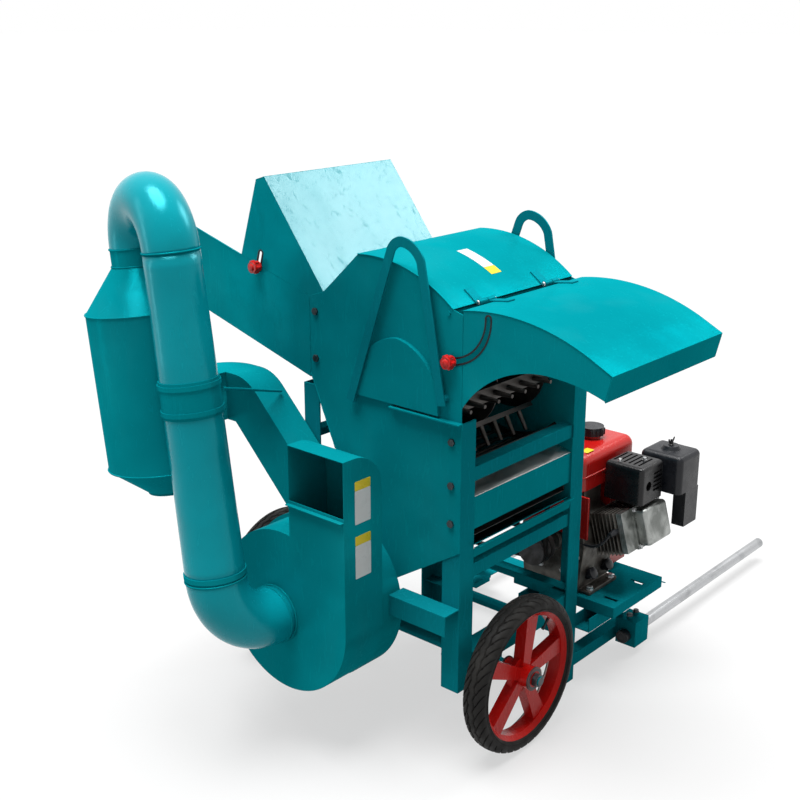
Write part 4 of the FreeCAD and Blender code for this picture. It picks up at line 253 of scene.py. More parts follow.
class Graph:
    """The node tree of one material, with short calls for the nodes that the finishes need."""

    def __init__(self, name: str) -> None:
        """Start a material with its shader and its own coordinates."""
        self.material = bpy.data.materials.new(name)
        self.material.use_nodes = True
        self.tree = self.material.node_tree
        self.shader = self.tree.nodes["Principled BSDF"]
        self.place = self.tree.nodes.new("ShaderNodeTexCoord").outputs["Object"]

    def link(self, start: bpy.types.NodeSocket, end: bpy.types.NodeSocket) -> None:
        """Join two sockets."""
        self.tree.links.new(start, end)

    def fix(self, **values: float | Colour) -> None:
        """Set constants on the shader, spelt with underscores for spaces."""
        for key, value in values.items():
            socket = self.shader.inputs[key.replace("_", " ")]
            socket.default_value = (*value, 1.0) if isinstance(value, tuple) else value

    def noise(self, scale: float, detail: float = 3.0, stretch: Spot = (1.0, 1.0, 1.0), twist: float = 0.0,
              rough: float = 0.5) -> bpy.types.NodeSocket:
        """Noise on the piece's own coordinates, stretched along the axes."""
        mapping = self.tree.nodes.new("ShaderNodeMapping")
        mapping.inputs["Scale"].default_value = stretch
        self.link(self.place, mapping.inputs["Vector"])
        node = self.tree.nodes.new("ShaderNodeTexNoise")
        node.inputs["Scale"].default_value = scale
        node.inputs["Detail"].default_value = detail
        node.inputs["Roughness"].default_value = rough
        node.inputs["Distortion"].default_value = twist
        self.link(mapping.outputs["Vector"], node.inputs["Vector"])
        return node.outputs["Fac"]

    def cells(self, scale: float) -> bpy.types.NodeSocket:
        """Distance to the nearest of scattered points."""
        node = self.tree.nodes.new("ShaderNodeTexVoronoi")
        node.inputs["Scale"].default_value = scale
        self.link(self.place, node.inputs["Vector"])
        return node.outputs["Distance"]

    def remap(self, value: bpy.types.NodeSocket, low: float, high: float, to_low: float,
              to_high: float) -> bpy.types.NodeSocket:
        """A value carried from one range to another, clamped."""
        node = self.tree.nodes.new("ShaderNodeMapRange")
        self.link(value, node.inputs["Value"])
        for key, number in (("From Min", low), ("From Max", high), ("To Min", to_low), ("To Max", to_high)):
            node.inputs[key].default_value = number
        return node.outputs["Result"]

    def blend(self, amount: bpy.types.NodeSocket, first: Colour | bpy.types.NodeSocket,
              second: Colour | bpy.types.NodeSocket) -> bpy.types.NodeSocket:
        """A colour between two, by an amount."""
        node = self.tree.nodes.new("ShaderNodeMix")
        node.data_type = "RGBA"
        self.link(amount, node.inputs[0])
        for colour, socket in ((first, node.inputs[6]), (second, node.inputs[7])):
            if isinstance(colour, tuple):
                socket.default_value = (*colour, 1.0)
            else:
                self.link(colour, socket)
        return node.outputs[2]

    def relief(self, height: bpy.types.NodeSocket, depth: float, under: bpy.types.NodeSocket | None = None,
               strength: float = 1.0) -> bpy.types.NodeSocket:
        """A bumped normal, over another one where given."""
        node = self.tree.nodes.new("ShaderNodeBump")
        node.inputs["Distance"].default_value = depth
        node.inputs["Strength"].default_value = strength
        self.link(height, node.inputs["Height"])
        if under is not None:
            self.link(under, node.inputs["Normal"])
        return node.outputs["Normal"]

    def finish(self, colour: bpy.types.NodeSocket, roughness: bpy.types.NodeSocket,
               normal: bpy.types.NodeSocket) -> bpy.types.Material:
        """Join the three outcomes to the shader and return the material."""
        self.link(colour, self.shader.inputs["Base Color"])
        self.link(roughness, self.shader.inputs["Roughness"])
        self.link(normal, self.shader.inputs["Normal"])
        return self.material


@dataclass(frozen=True)
class Finish:
    """A finish that makes its material once, under its own name."""

    name: str

    def material(self) -> bpy.types.Material:
        """The finish's material, made at the first call."""
        full_name = "finish_" + self.name
        return bpy.data.materials.get(full_name) or self.make(Graph(full_name))

    def make(self, graph: Graph) -> bpy.types.Material:
        """Build the node tree; each kind of finish has its own."""
        raise NotImplementedError


@dataclass(frozen=True)
class SheetPaint(Finish):
    """Glossy paint on sheet metal: a soft tone drift, faint dust, slight waves of the sheet and a sprayed skin."""

    colour: Colour
    shade: Colour
    tint: Colour
    gloss: float = 0.16
    wave: float = 0.0011
    drift: float = 3.0
    shine: float = 0.5
    flake: float = 0.0

    def make(self, graph: Graph) -> bpy.types.Material:
        """Colour drifts to its shade and to a dust colour, scuffs roughen the gloss, and flake is the share of tinted
        mirror.
        """
        tone = graph.blend(graph.remap(graph.noise(self.drift, 4.0), 0.35, 0.68, 0.0, 1.0), self.shade, self.colour)
        dust = graph.remap(graph.noise(9.0, 8.0, (1.0, 1.0, 0.35), 0.6), 0.52, 0.82, 0.0, 0.10)
        worn = graph.blend(dust, tone, (0.05, 0.30, 0.33))
        scuff = graph.remap(graph.noise(75.0, 6.0, (1.0, 1.0, 0.22), 1.4), 0.56, 0.74, self.gloss, self.gloss + 0.22)
        waves = graph.relief(graph.noise(6.5, 1.5), self.wave * 9)
        skin = graph.relief(graph.noise(520.0, 1.0), 0.00022, waves)
        graph.fix(IOR=1.5, Specular_IOR_Level=self.shine, Specular_Tint=self.tint, Metallic=self.flake)
        return graph.finish(worn, scuff, skin)


@dataclass(frozen=True)
class CastMetal(Finish):
    """Cast metal: fine grain, dark stains in broad patches and a broken sheen."""

    colour: Colour
    stain: Colour
    metallic: float = 1.0
    sheen: float = 0.42
    grain: float = 0.0005

    def make(self, graph: Graph) -> bpy.types.Material:
        """Stains follow broad noise; the grain is two sizes of noise, one over the other."""
        soil = graph.remap(graph.noise(24.0, 8.0, twist=0.5), 0.40, 0.66, 0.0, 1.0)
        colour = graph.blend(soil, self.stain, self.colour)
        gloss = graph.remap(graph.noise(60.0, 5.0), 0.3, 0.7, self.sheen - 0.1, self.sheen + 0.16)
        coarse = graph.relief(graph.noise(210.0, 3.0), self.grain)
        fine = graph.relief(graph.noise(900.0, 2.0), self.grain * 0.5, coarse)
        graph.fix(Metallic=self.metallic)
        return graph.finish(colour, gloss, fine)


@dataclass(frozen=True)
class DrawnSteel(Finish):
    """Bright drawn or rolled steel: fine lines along the piece, a few dull spots."""

    colour: Colour
    dull: Colour
    lines: Spot = (1.0, 0.03, 1.0)
    sheen: float = 0.26

    def make(self, graph: Graph) -> bpy.types.Material:
        """Lines are noise stretched along the drawing; dull spots mix a darker colour in."""
        spot = graph.remap(graph.noise(18.0, 7.0, twist=0.8), 0.50, 0.74, 0.0, 0.85)
        colour = graph.blend(spot, self.colour, self.dull)
        gloss = graph.remap(graph.noise(160.0, 4.0, self.lines), 0.3, 0.7, self.sheen - 0.06, self.sheen + 0.18)
        lines = graph.relief(graph.noise(420.0, 3.0, self.lines), 0.00016)
        graph.fix(Metallic=1.0)
        return graph.finish(colour, gloss, lines)


@dataclass(frozen=True)
class Rubber(Finish):
    """Black rubber with a dusty bloom and a fine moulded grain."""

    colour: Colour
    bloom: Colour
    dust: float = 0.5

    def make(self, graph: Graph) -> bpy.types.Material:
        """The bloom lies in broad patches; the grain is fine noise."""
        patch = graph.remap(graph.noise(13.0, 8.0, twist=0.7), 0.45, 0.75, 0.0, self.dust)
        colour = graph.blend(patch, self.colour, self.bloom)
        gloss = graph.remap(graph.noise(48.0, 5.0), 0.3, 0.7, 0.48, 0.74)
        grain = graph.relief(graph.noise(640.0, 3.0), 0.0003)
        graph.fix(Specular_IOR_Level=0.15)
        return graph.finish(colour, gloss, grain)


@dataclass(frozen=True)
class MouldedPlastic(Finish):
    """Moulded plastic or enamel: a leathery grain under a satin or glossy surface."""

    colour: Colour
    worn: Colour
    gloss: float = 0.4
    grain: float = 0.0002

    def make(self, graph: Graph) -> bpy.types.Material:
        """The grain is cell distance; handling marks are a lighter, duller tone."""
        mark = graph.remap(graph.noise(30.0, 7.0, twist=0.5), 0.52, 0.8, 0.0, 0.6)
        colour = graph.blend(mark, self.colour, self.worn)
        sheen = graph.remap(graph.noise(52.0, 5.0), 0.3, 0.7, self.gloss - 0.07, self.gloss + 0.12)
        grain = graph.relief(graph.cells(460.0), self.grain)
        graph.fix(Specular_IOR_Level=0.3)
        return graph.finish(colour, sheen, grain)


TEAL = SheetPaint("teal_paint", (0.002, 0.285, 0.325), (0.001, 0.225, 0.265), (0.02, 0.90, 1.0),
                  gloss=0.2, wave=0.0009, shine=0.0, flake=0.13)
TEAL_PIPE = SheetPaint("teal_paint_on_pipe", (0.002, 0.360, 0.430), (0.001, 0.290, 0.350), (0.3, 0.95, 1.0),
                       gloss=0.15, wave=0.0008, shine=0.25, flake=0.1)
TEAL_BAR = SheetPaint("teal_paint_on_bar", (0.003, 0.240, 0.285), (0.002, 0.185, 0.225), (0.02, 0.9, 1.0),
                      gloss=0.24, wave=0.0003, shine=0.0, flake=0.13)
TEAL_ROOF = SheetPaint("teal_paint_on_feed_hood", (0.010, 0.250, 0.295), (0.006, 0.200, 0.240), (0.6, 0.95, 1.0),
                       gloss=0.2, wave=0.0008, shine=0.9)
RED = SheetPaint("red_paint", (0.520, 0.012, 0.009), (0.400, 0.007, 0.006), (1.0, 0.55, 0.50),
                 gloss=0.17, wave=0.0002, shine=0.6)
RIM_RED = SheetPaint("rim_red_paint", (0.600, 0.008, 0.006), (0.470, 0.006, 0.004), (1.0, 0.4, 0.35),
                     gloss=0.24, wave=0.0002, shine=0.25)
KNOB_RED = MouldedPlastic("knob_red_plastic", (0.62, 0.012, 0.010), (0.70, 0.06, 0.05), 0.22, 0.00006)
TYRE = Rubber("tyre_rubber", (0.011, 0.0105, 0.010), (0.050, 0.047, 0.043))
BELT = Rubber("belt_rubber", (0.014, 0.014, 0.015), (0.06, 0.055, 0.05), 0.7)
ENAMEL = MouldedPlastic("hot_black_enamel", (0.006, 0.006, 0.007), (0.020, 0.019, 0.018), 0.22, 0.00010)
BLACK = MouldedPlastic("black_plastic", (0.008, 0.009, 0.012), (0.022, 0.023, 0.027), 0.30)
ALUMINIUM = CastMetal("cast_aluminium", (0.400, 0.415, 0.400), (0.170, 0.180, 0.170), sheen=0.34)
CASE = CastMetal("soiled_casting", (0.160, 0.150, 0.135), (0.050, 0.044, 0.038), 0.75, 0.46)
IRON = CastMetal("cast_iron", (0.115, 0.115, 0.120), (0.045, 0.043, 0.042), 0.85, 0.5)
WORN_STEEL = DrawnSteel("worn_steel", (0.36, 0.36, 0.37), (0.16, 0.15, 0.14), (1.0, 1.0, 0.1), 0.36)
ZINC = DrawnSteel("zinc_bolt", (0.52, 0.53, 0.54), (0.26, 0.26, 0.25), (1.0, 1.0, 1.0), 0.3)
DARK_BOLT = DrawnSteel("dark_bolt", (0.095, 0.098, 0.105), (0.045, 0.044, 0.043), (1.0, 1.0, 1.0), 0.34)
# Dark steel for the drum, concave, sieve and runners: painted shade for the shaded inside of the body.
DRUM_PAINTED_SHADE = DrawnSteel("drum_steel_painted_shade", (0.075, 0.070, 0.066), (0.042, 0.036, 0.031), (1.0, 0.1, 1.0), 0.44)
# Bright steel colour on the shelf: a painted reflection, standing for the bright light that the shelf reflects.
SHELF_PAINTED_REFLECTION = DrawnSteel("shelf_painted_reflection", (0.60, 0.61, 0.60), (0.38, 0.39, 0.38), (1.0, 0.05, 1.0), 0.34)
ROD_STEEL = DrawnSteel("galvanised_rod", (0.47, 0.48, 0.49), (0.29, 0.30, 0.31))
PLATE_WHITE = MouldedPlastic("blank_plate_white", (0.72, 0.73, 0.72), (0.60, 0.60, 0.58), 0.3, 0.00003)
PLATE_YELLOW = MouldedPlastic("blank_plate_yellow", (0.80, 0.62, 0.02), (0.66, 0.50, 0.02), 0.3, 0.00003)


# Pieces


def dress(piece: bpy.types.Object, body: str) -> bpy.types.Object:
    """Let a piece ride on a body."""
    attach(piece, body)
    return piece


def make_piece(name: str, shape: Shape, finish: Finish, body: str,
               sharp: float = 35.0) -> bpy.types.Object:
    """Put a shape into a mesh of its own, close its poles and turn its faces outwards.

    Args:
        name: the piece's name.
        shape: points in machine millimetres, and quads.
        finish: the finish.
        body: the body that it rides on.
        sharp: the angle in degrees from which an edge stays sharp.

    Returns:
        The piece.
    """
    mesh = bpy.data.meshes.new(name)
    mesh.from_pydata(spots(shape.points), [], shape.quads.tolist())
    shell = bmesh.new()
    shell.from_mesh(mesh)
    bmesh.ops.remove_doubles(shell, verts=shell.verts, dist=1e-6)
    bmesh.ops.recalc_face_normals(shell, faces=shell.faces)
    shell.to_mesh(mesh)
    shell.free()
    mesh.shade_smooth()
    mesh.set_sharp_from_angle(angle=math.radians(sharp))
    mesh.materials.append(finish.material())
    piece = bpy.data.objects.new(name, mesh)
    bpy.context.scene.collection.objects.link(piece)
    log.info("%s: %d faces", name, len(mesh.polygons))
    return dress(piece, body)


def eased(node: str, finish: Finish, ease: float = 0.6, sharp: float = 33.0, steps: int = 2) -> bpy.types.Object:
    """A softened copy of a CAD node, which then stands for it: joined corners, smooth curves and eased edges.

    Args:
        node: the CAD node's name.
        finish: the finish.
        ease: the width of the eased edges in millimetres.
        sharp: the angle in degrees from which an edge is eased and not smoothed.
        steps: faces across an eased edge.

    Returns:
        The piece that stands for the node.
    """
    source = frame["nodes"][node]
    source.data.materials.clear()
    source.data.materials.append(finish.material())
    old = source.data
    points = np.empty(len(old.vertices) * 3)
    old.vertices.foreach_get("co", points)
    corners = np.empty(len(old.loops), int)
    old.loops.foreach_get("vertex_index", corners)
    tidy, number = np.unique(points.reshape(-1, 3).round(6), axis=0, return_inverse=True)
    faces = number.ravel()[corners].reshape(-1, 3)
    real = (faces[:, 0] != faces[:, 1]) & (faces[:, 1] != faces[:, 2]) & (faces[:, 2] != faces[:, 0])
    mesh = bpy.data.meshes.new(node + "_eased")
    mesh.from_pydata(tidy, [], faces[real].tolist())
    shell = bmesh.new()
    shell.from_mesh(mesh)
    bmesh.ops.dissolve_limit(shell, angle_limit=math.radians(0.3), verts=shell.verts, edges=shell.edges)
    shell.to_mesh(mesh)
    shell.free()
    mesh.shade_smooth()
    mesh.set_sharp_from_angle(angle=math.radians(sharp))
    mesh.materials.append(finish.material())
    piece = bpy.data.objects.new(node + "_eased", mesh)
    bpy.context.scene.collection.objects.link(piece)
    bevel = piece.modifiers.new("eased_edges", "BEVEL")
    bevel.width = ease / 1000.0
    bevel.segments = steps
    bevel.limit_method = "ANGLE"
    bevel.angle_limit = math.radians(sharp)
    bevel.use_clamp_overlap = True
    bevel.harden_normals = True
    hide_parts(node)
    log.info("%s: %d faces", piece.name, len(mesh.polygons))
    return dress(piece, BODY_OF[node])


def repaint(piece: bpy.types.Object, finish: Finish, pick: Callable[[np.ndarray], np.ndarray]) -> None:
    """Give a second finish to some faces of a piece.

    Args:
        piece: the piece.
        finish: the finish that these faces get.
        pick: tells from the faces' middles, in machine millimetres, which faces get it.
    """
    mesh = piece.data
    mesh.materials.append(finish.material())
    middles = np.empty(len(mesh.polygons) * 3)
    mesh.polygons.foreach_get("center", middles)
    numbers = np.zeros(len(mesh.polygons), np.int32)
    mesh.polygons.foreach_get("material_index", numbers)
    numbers[pick(middles.reshape(-1, 3) * 1000.0 - MOVE)] = len(mesh.materials) - 1
    mesh.polygons.foreach_set("material_index", numbers)


def slot_edge(line: np.ndarray, reach: float) -> np.ndarray:
    """A closed line at a reach round another one in an upright plane: both offsets, joined by half circles."""
    ahead = unit(np.gradient(line, axis=0))
    side = np.cross(ahead, Axis.Y.value)
    turn = np.radians(np.linspace(0, 180, 13))[1:-1, None]
    end = line[-1] + reach * (np.cos(turn) * side[-1] + np.sin(turn) * ahead[-1])
    start = line[0] - reach * (np.cos(turn) * side[0] + np.sin(turn) * ahead[0])
    return np.concatenate([line + reach * side, end, (line - reach * side)[::-1], start])


def weld(name: str, paths: Sequence[np.ndarray], body: str, radius: float = 1.9, closed: bool = False,
         finish: Finish = TEAL_BAR) -> bpy.types.Object:
    """Weld beads: a round section along each path, its radius rippled as radius (1 + 0.16 sin of the way run)."""
    beads = []
    for path in paths:
        step = np.linalg.norm(np.diff(path, axis=0), axis=1)
        run = np.concatenate([[0.0], np.cumsum(step)])
        beads.append(swept(path, radius * (1 + 0.16 * np.sin(run * 1.25)), 6, closed))
    return make_piece(name, Shape.joined(beads), finish, body, 70.0)


def bolts(name: str, places: Sequence, axes: Sequence, body: str, across: float = 13.0, tall: float = 5.5,
          finish: Finish = ZINC) -> bpy.types.Object:
    """Hexagon heads on their washers, one mesh for all of them."""
    head = hex_head(across, tall, across * 0.66)
    return make_piece(name, scattered(head, places, axes, 0.37), finish, body, 25.0)


@dataclass
class Wheel:
    """One wheel: a treaded tyre, the pressed rim, a valve and a hub cap ring."""

    side: Side
    middle: float
    height: float = 170.0
    along: float = -82.0
    radius: float = 170.0
    half_width: float = 27.0
    section_middle: float = 152.0
    section_half: float = 18.0
    groove: float = 3.4
    blocks: int = 40

    def tyre(self) -> Shape:
        """The tyre: a superellipse section turned about the axle, less its grooves.

        The section is x = w |sin f|^0.83, r = m + h |cos f|^0.83 with their signs. The groove is the deepest of a
        zigzag line at each side of the middle and slanted cuts across the shoulders.

        Returns:
            The closed shape.
        """
        rise = np.radians(np.linspace(-132, 132, 89))[:, None]
        turn = np.linspace(0, 2 * math.pi, self.blocks * 14, endpoint=False)[None]
        power = 2 / 2.4
        x = self.half_width * np.sign(np.sin(rise)) * np.abs(np.sin(rise)) ** power
        r = self.section_middle + self.section_half * np.sign(np.cos(rise)) * np.abs(np.cos(rise)) ** power
        phase = turn * self.blocks / (2 * math.pi)
        zigzag = np.abs(np.mod(phase, 1.0) * 2 - 1) * 4.0 - 2.0
        lines = np.minimum(np.abs(x - 7.0 - zigzag), np.abs(x + 7.0 - zigzag))
        slant = np.abs(np.mod(phase + np.sign(x) * 0.06 * np.abs(x) ** 1.05 + 0.25 * (x > 0), 1.0) - 0.5)
        cuts = np.where(np.abs(x) > 8.0, (0.5 - slant) * 2 * math.pi * self.radius / self.blocks - 0.4, 9.0)
        depth = np.clip((1.9 - np.minimum(lines, cuts)) / 1.1, 0.0, 1.0)
        shoulder = np.clip((r - 155.5) / 3.0, 0.0, 1.0)
        r = r - self.groove * depth * shoulder
        points = np.stack([self.middle + x + 0 * turn, self.along + r * np.cos(turn),
                           self.height + r * np.sin(turn)], -1)
        return Shape(points.reshape(-1, 3), grid_quads(len(rise), turn.shape[1], True, True))

    def build(self) -> None:
        """Make the tyre, the rim, the sidewall rings and the valve."""
        body, label = self.side.value + "_wheel", self.side.value
        tyre = make_piece(label + "_treaded_tyre", self.tyre(), TYRE, body, 40.0)
        frame["nodes"][label + "_tyre"].data.materials.clear()
        frame["nodes"][label + "_tyre"].data.materials.append(TYRE.material())
        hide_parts(label + "_tyre")
        eased(label + "_rim", RIM_RED, 2.2, 33.0, 3)
        centre = (self.middle, self.along, self.height)
        rings = [swept(arc_points((self.middle + way * (self.half_width - inset), self.along, self.height), radius,
                                  0, 357, Axis.Y.value, Axis.Z.value, 120), 0.9, 6, True)
                 for way in (-1, 1) for radius, inset in ((149.5, 0.1), (145.2, 0.5))]
        make_piece(label + "_sidewall_rings", Shape.joined(rings), TYRE, body)
        seat = math.radians(43)
        foot = np.array([0.0, math.cos(seat), math.sin(seat)])
        inner = np.array(centre) + foot * 133.0
        stem = swept([inner, inner - foot * 12, inner - foot * 12.1, inner - foot * 22, inner - foot * 22.1,
                      inner - foot * 29], [3.6, 3.0, 2.5, 2.5, 3.5, 3.2], 12)
        make_piece(label + "_valve", stem, BLACK, body)
        profile = ((24.1, 33.0), (25.6, 33.6), (25.6, 36.6), (22.0, 37.3), (17.5, 37.3), (17.5, 33.0))
        hub = [turned([(radius, way * step) for radius, step in profile], centre, Axis.X.value, 48, True)
               for way in (-1, 1)]
        make_piece(label + "_hub_rings", Shape.joined(hub), IRON, body)


@dataclass
class Running:
    """The steel frame, the axle, the engine's base and the pull rods with their clamps."""

    rod_x: float = 241.0
    rod_z: float = 52.0
    rod_start: float = 380.0
    cap_length: float = 18.0
    post_x: float = 214.0
    half_width: float = 217.0

    def build(self) -> None:
        """Ease every bar and add welds, bolts and the rods' end caps."""
        for node in ("frame_posts", "frame_bars", "engine_base", "rod_clamps"):
            eased(node, TEAL_BAR, 1.0)
        repaint(eased("axle", TEAL_BAR, 1.0), DARK_BOLT, lambda at: (at[:, 0] > 309.0) | (at[:, 0] < -476.0))
        eased("frame_bolts", DARK_BOLT, 0.5)
        cap_end = self.rod_start + self.cap_length - 0.35
        for side, way in ((Side.NEAR, 1), (Side.FAR, -1)):
            rod = eased(side.value + "_pull_rod", ROD_STEEL, 1.0)
            repaint(rod, BLACK, lambda at: at[:, 1] < cap_end)
            place = (way * self.rod_x, self.rod_start, self.rod_z)
            plug = turned([(0, 0), (9.5, -0.1), (9.5, 0.5), (11.0, 0.9), (11.0, 0.4), (15.0, 0.6)], place,
                          (0, -1, 0), 32)
            make_piece(side.value + "_rod_plug", plug, BLACK, side.value + "_rod")
        joints = []
        for sign in (-1, 1):
            x = sign * (self.post_x - 6)
            joints += [run_points((x, -self.half_width + 4.5, z), (x - sign * 26, -self.half_width + 4.5, z))
                       for z in (350, 432, 639)]
        weld("frame_welds", joints, "frame")
        clamp_top = self.rod_z + 38
        heads = [(way * self.rod_x, self.rod_start + self.cap_length + along, clamp_top + 7)
                 for way in (1, -1) for along in (16, 44)]
        bolts("clamp_bolts", heads, Axis.Z.value, "frame", 12.0, 6.0, DARK_BOLT)


@dataclass
class Threshing:
    """The body: side plates, pan, lid with its hinges, straw hood, deflector, straps and the drum behind them."""

    near: float = -219.0
    far: float = 172.0
    hinge_x: float = 199.0
    hinge_z: float = 964.7
    shelf_foot: float = 576.0
    slot_middle: tuple[float, float] = (181.0, 953.0)
    slot_radius: float = 92.0
    # Reach of the black band of painted shade round a slot.
    slot_shade_reach: float = 6.4
    plate_y: float = -28.0
    plate_half: float = 16.0
    lid_middle: tuple[float, float] = (-18.148, 705.741)
    lid_radius: float = 331.5

    def build(self) -> None:
        """Ease the sheets, then add hinge pins, hems, a black band of painted shade round the slot and the plain
        plate on the lid.
        """
        for node in ("near_side_plate", "far_side_plate", "lower_pan", "drum_end_cover", "top_cover",
                     "discharge_hood", "straw_deflector"):
            eased(node, TEAL, 0.5)
        # The shelf above the front plate's foot gets a painted reflection: a bright steel colour in place of the
        # teal.
        repaint(eased("front_plate", TEAL, 0.5), SHELF_PAINTED_REFLECTION, lambda at: at[:, 2] > self.shelf_foot)
        for node in ("lid_hinge_leaves", "hood_hinge_leaves", "carry_straps"):
            eased(node, TEAL_BAR, 0.7)
        eased("deflector_knob", KNOB_RED, 1.4, 33.0, 3)
        # The drum and the parts round it get painted shade: dark steel standing for the shade inside the body.
        for node in ("drum_shaft", "threshing_drum", "concave", "sieve_tray", "sieve_runners"):
            eased(node, DRUM_PAINTED_SHADE, 0.3)
        self.knob_boss("deflector_knob_boss", (189.0, self.near - 20.0, 861.35), "deflector_knob_body")
        self.hinges()
        self.edges()
        self.lid_plates()
        # Painted shade: a black band round the deflector's slot.
        centre = (self.slot_middle[0], self.near - 0.1, self.slot_middle[1])
        slot = arc_points(centre, self.slot_radius, -89, 2, Axis.X.value, Axis.Z.value, 48)
        self.slot_shade_band("deflector_slot_painted_shade", slot)

    def slot_shade_band(self, name: str, line: np.ndarray) -> None:
        """A black band round a slot in the near side plate: painted shade for the slot's dark opening."""
        shade_band = swept(slot_edge(line, self.slot_shade_reach), 1.9, 10, True, 0.65)
        make_piece(name, shade_band, BLACK, "frame")

    def lid_plates(self) -> None:
        """A plain white plate with a yellow end, bent to the lid, with nothing on it.

        Each is p(i, k) = c + (r + h(k)) (sin a(i), 0, cos a(i)) + y(k) along Y, its ends drawn to a point.
        """
        for name, start, end, finish in (("lid_blank_panel", 76.0, 148.6, PLATE_WHITE),
                                         ("lid_blank_head", 149.4, 171.5, PLATE_YELLOW)):
            angle = np.linspace(start, end, 24) / self.lid_radius
            angle = np.concatenate([angle[:1], angle, angle[-1:]])[:, None]
            open_ends = np.concatenate([[0.0], np.ones(24), [0.0]])[:, None]
            rise = self.lid_radius + 0.25 + open_ends * np.array([-0.35, 0.35, 0.35, -0.35])
            across = self.plate_y + open_ends * self.plate_half * np.array([-1, -1, 1, 1])
            points = np.stack([self.lid_middle[0] + rise * np.sin(angle), across,
                               self.lid_middle[1] + rise * np.cos(angle)], -1)
            plate = Shape(points.reshape(-1, 3), grid_quads(26, 4, False, True))
            make_piece(name, plate, finish, BODY_OF["top_cover"])

    def knob_boss(self, name: str, place: Spot, body: str) -> None:
        """The stepped cap on a star knob."""
        cap = turned([(0, 2.6), (3.6, 2.5), (6.4, 1.7), (7.6, 0.3), (7.6, -0.8)], place, (0, -1, 0), 32)
        make_piece(name, cap, KNOB_RED, body)

    def hinges(self) -> None:
        """Pin heads at both ends of the knuckles."""
        pins = [turned([(0, -2.2), (3.4, -2.0), (4.4, -1.0), (4.4, 0.4), (0, 0.4)],
                       (self.hinge_x, middle + end, self.hinge_z), (0, way, 0), 20)
                for middle in (-130, 85) for end, way in ((-25, 1), (25, -1))]
        make_piece("hinge_pin_heads", Shape.joined(pins), ZINC, "frame")

    def edges(self) -> None:
        """The straw hood's rolled hem, and the weld along the body's front corner."""
        lip = run_points((527.0, self.near, 851.5), (527.0, self.far, 851.5))
        make_piece("hood_lip_hem", swept(lip, 1.7, 8), TEAL, "frame", 70.0)
        seam = [run_points((-190, self.near - 0.3, 770), (-190, self.near - 0.3, 928)),
                run_points((-121, self.near - 0.3, 612), (-189, self.near - 0.3, 766))]
        weld("body_seam", seam, "frame", 1.3, False, TEAL)


@dataclass
class Feeding:
    """The feed trough with its hood, the gate and the gate's knob."""

    near: float = -219.0
    far: float = 172.0
    end_x: float = -600.0
    wall_x: float = -190.0
    foot: float = 756.0
    top: float = 930.0
    slope: float = 0.285

    def build(self) -> None:
        """Ease the sheets and add the trough's wired edges and the knob's boss."""
        for node in ("feed_trough", "feed_gate"):
            eased(node, TEAL, 0.5)
        repaint(eased("feed_hood", TEAL_ROOF, 0.5), TEAL,
                lambda at: (at[:, 1] < self.near + 9.0) | (at[:, 1] > self.far - 7.0))
        eased("gate_knob", KNOB_RED, 1.4, 33.0, 3)
        Threshing().knob_boss("gate_knob_boss", (-341.0, self.near - 20.0, 971.0), "gate_knob_body")
        # The gate's slot gets the same black band of painted shade for its dark opening.
        start, rise_way = np.array([-341.0, self.near - 0.1, 971.0]), np.array([0.2741, 0, 0.9617])
        slot = start + np.linspace(0, 30, 8)[:, None] * rise_way
        Threshing().slot_shade_band("gate_slot_painted_shade", slot)
        rise = (self.wall_x - self.end_x) * self.slope
        rims = [swept(run_points((-396.0, y, self.top + (-396.0 - self.wall_x) * -self.slope),
                                 (self.end_x + 2, y, self.top + rise - 0.6)), 1.7, 8)
                for y in (self.near + 1.0, self.far + 1.0)]
        mouth = swept(run_points((self.end_x + 2, self.near + 1, self.foot + rise),
                                 (self.end_x + 2, self.far + 1, self.foot + rise)), 1.7, 8)
        make_piece("trough_wired_edges", Shape.joined(rims + [mouth]), TEAL, "frame", 70.0)
        crest = run_points((-316.0, self.near + 1, 1161.0), (-316.0, self.far + 1, 1161.0))
        make_piece("feed_hood_crest", swept(crest, 1.6, 8), TEAL, "frame", 70.0)


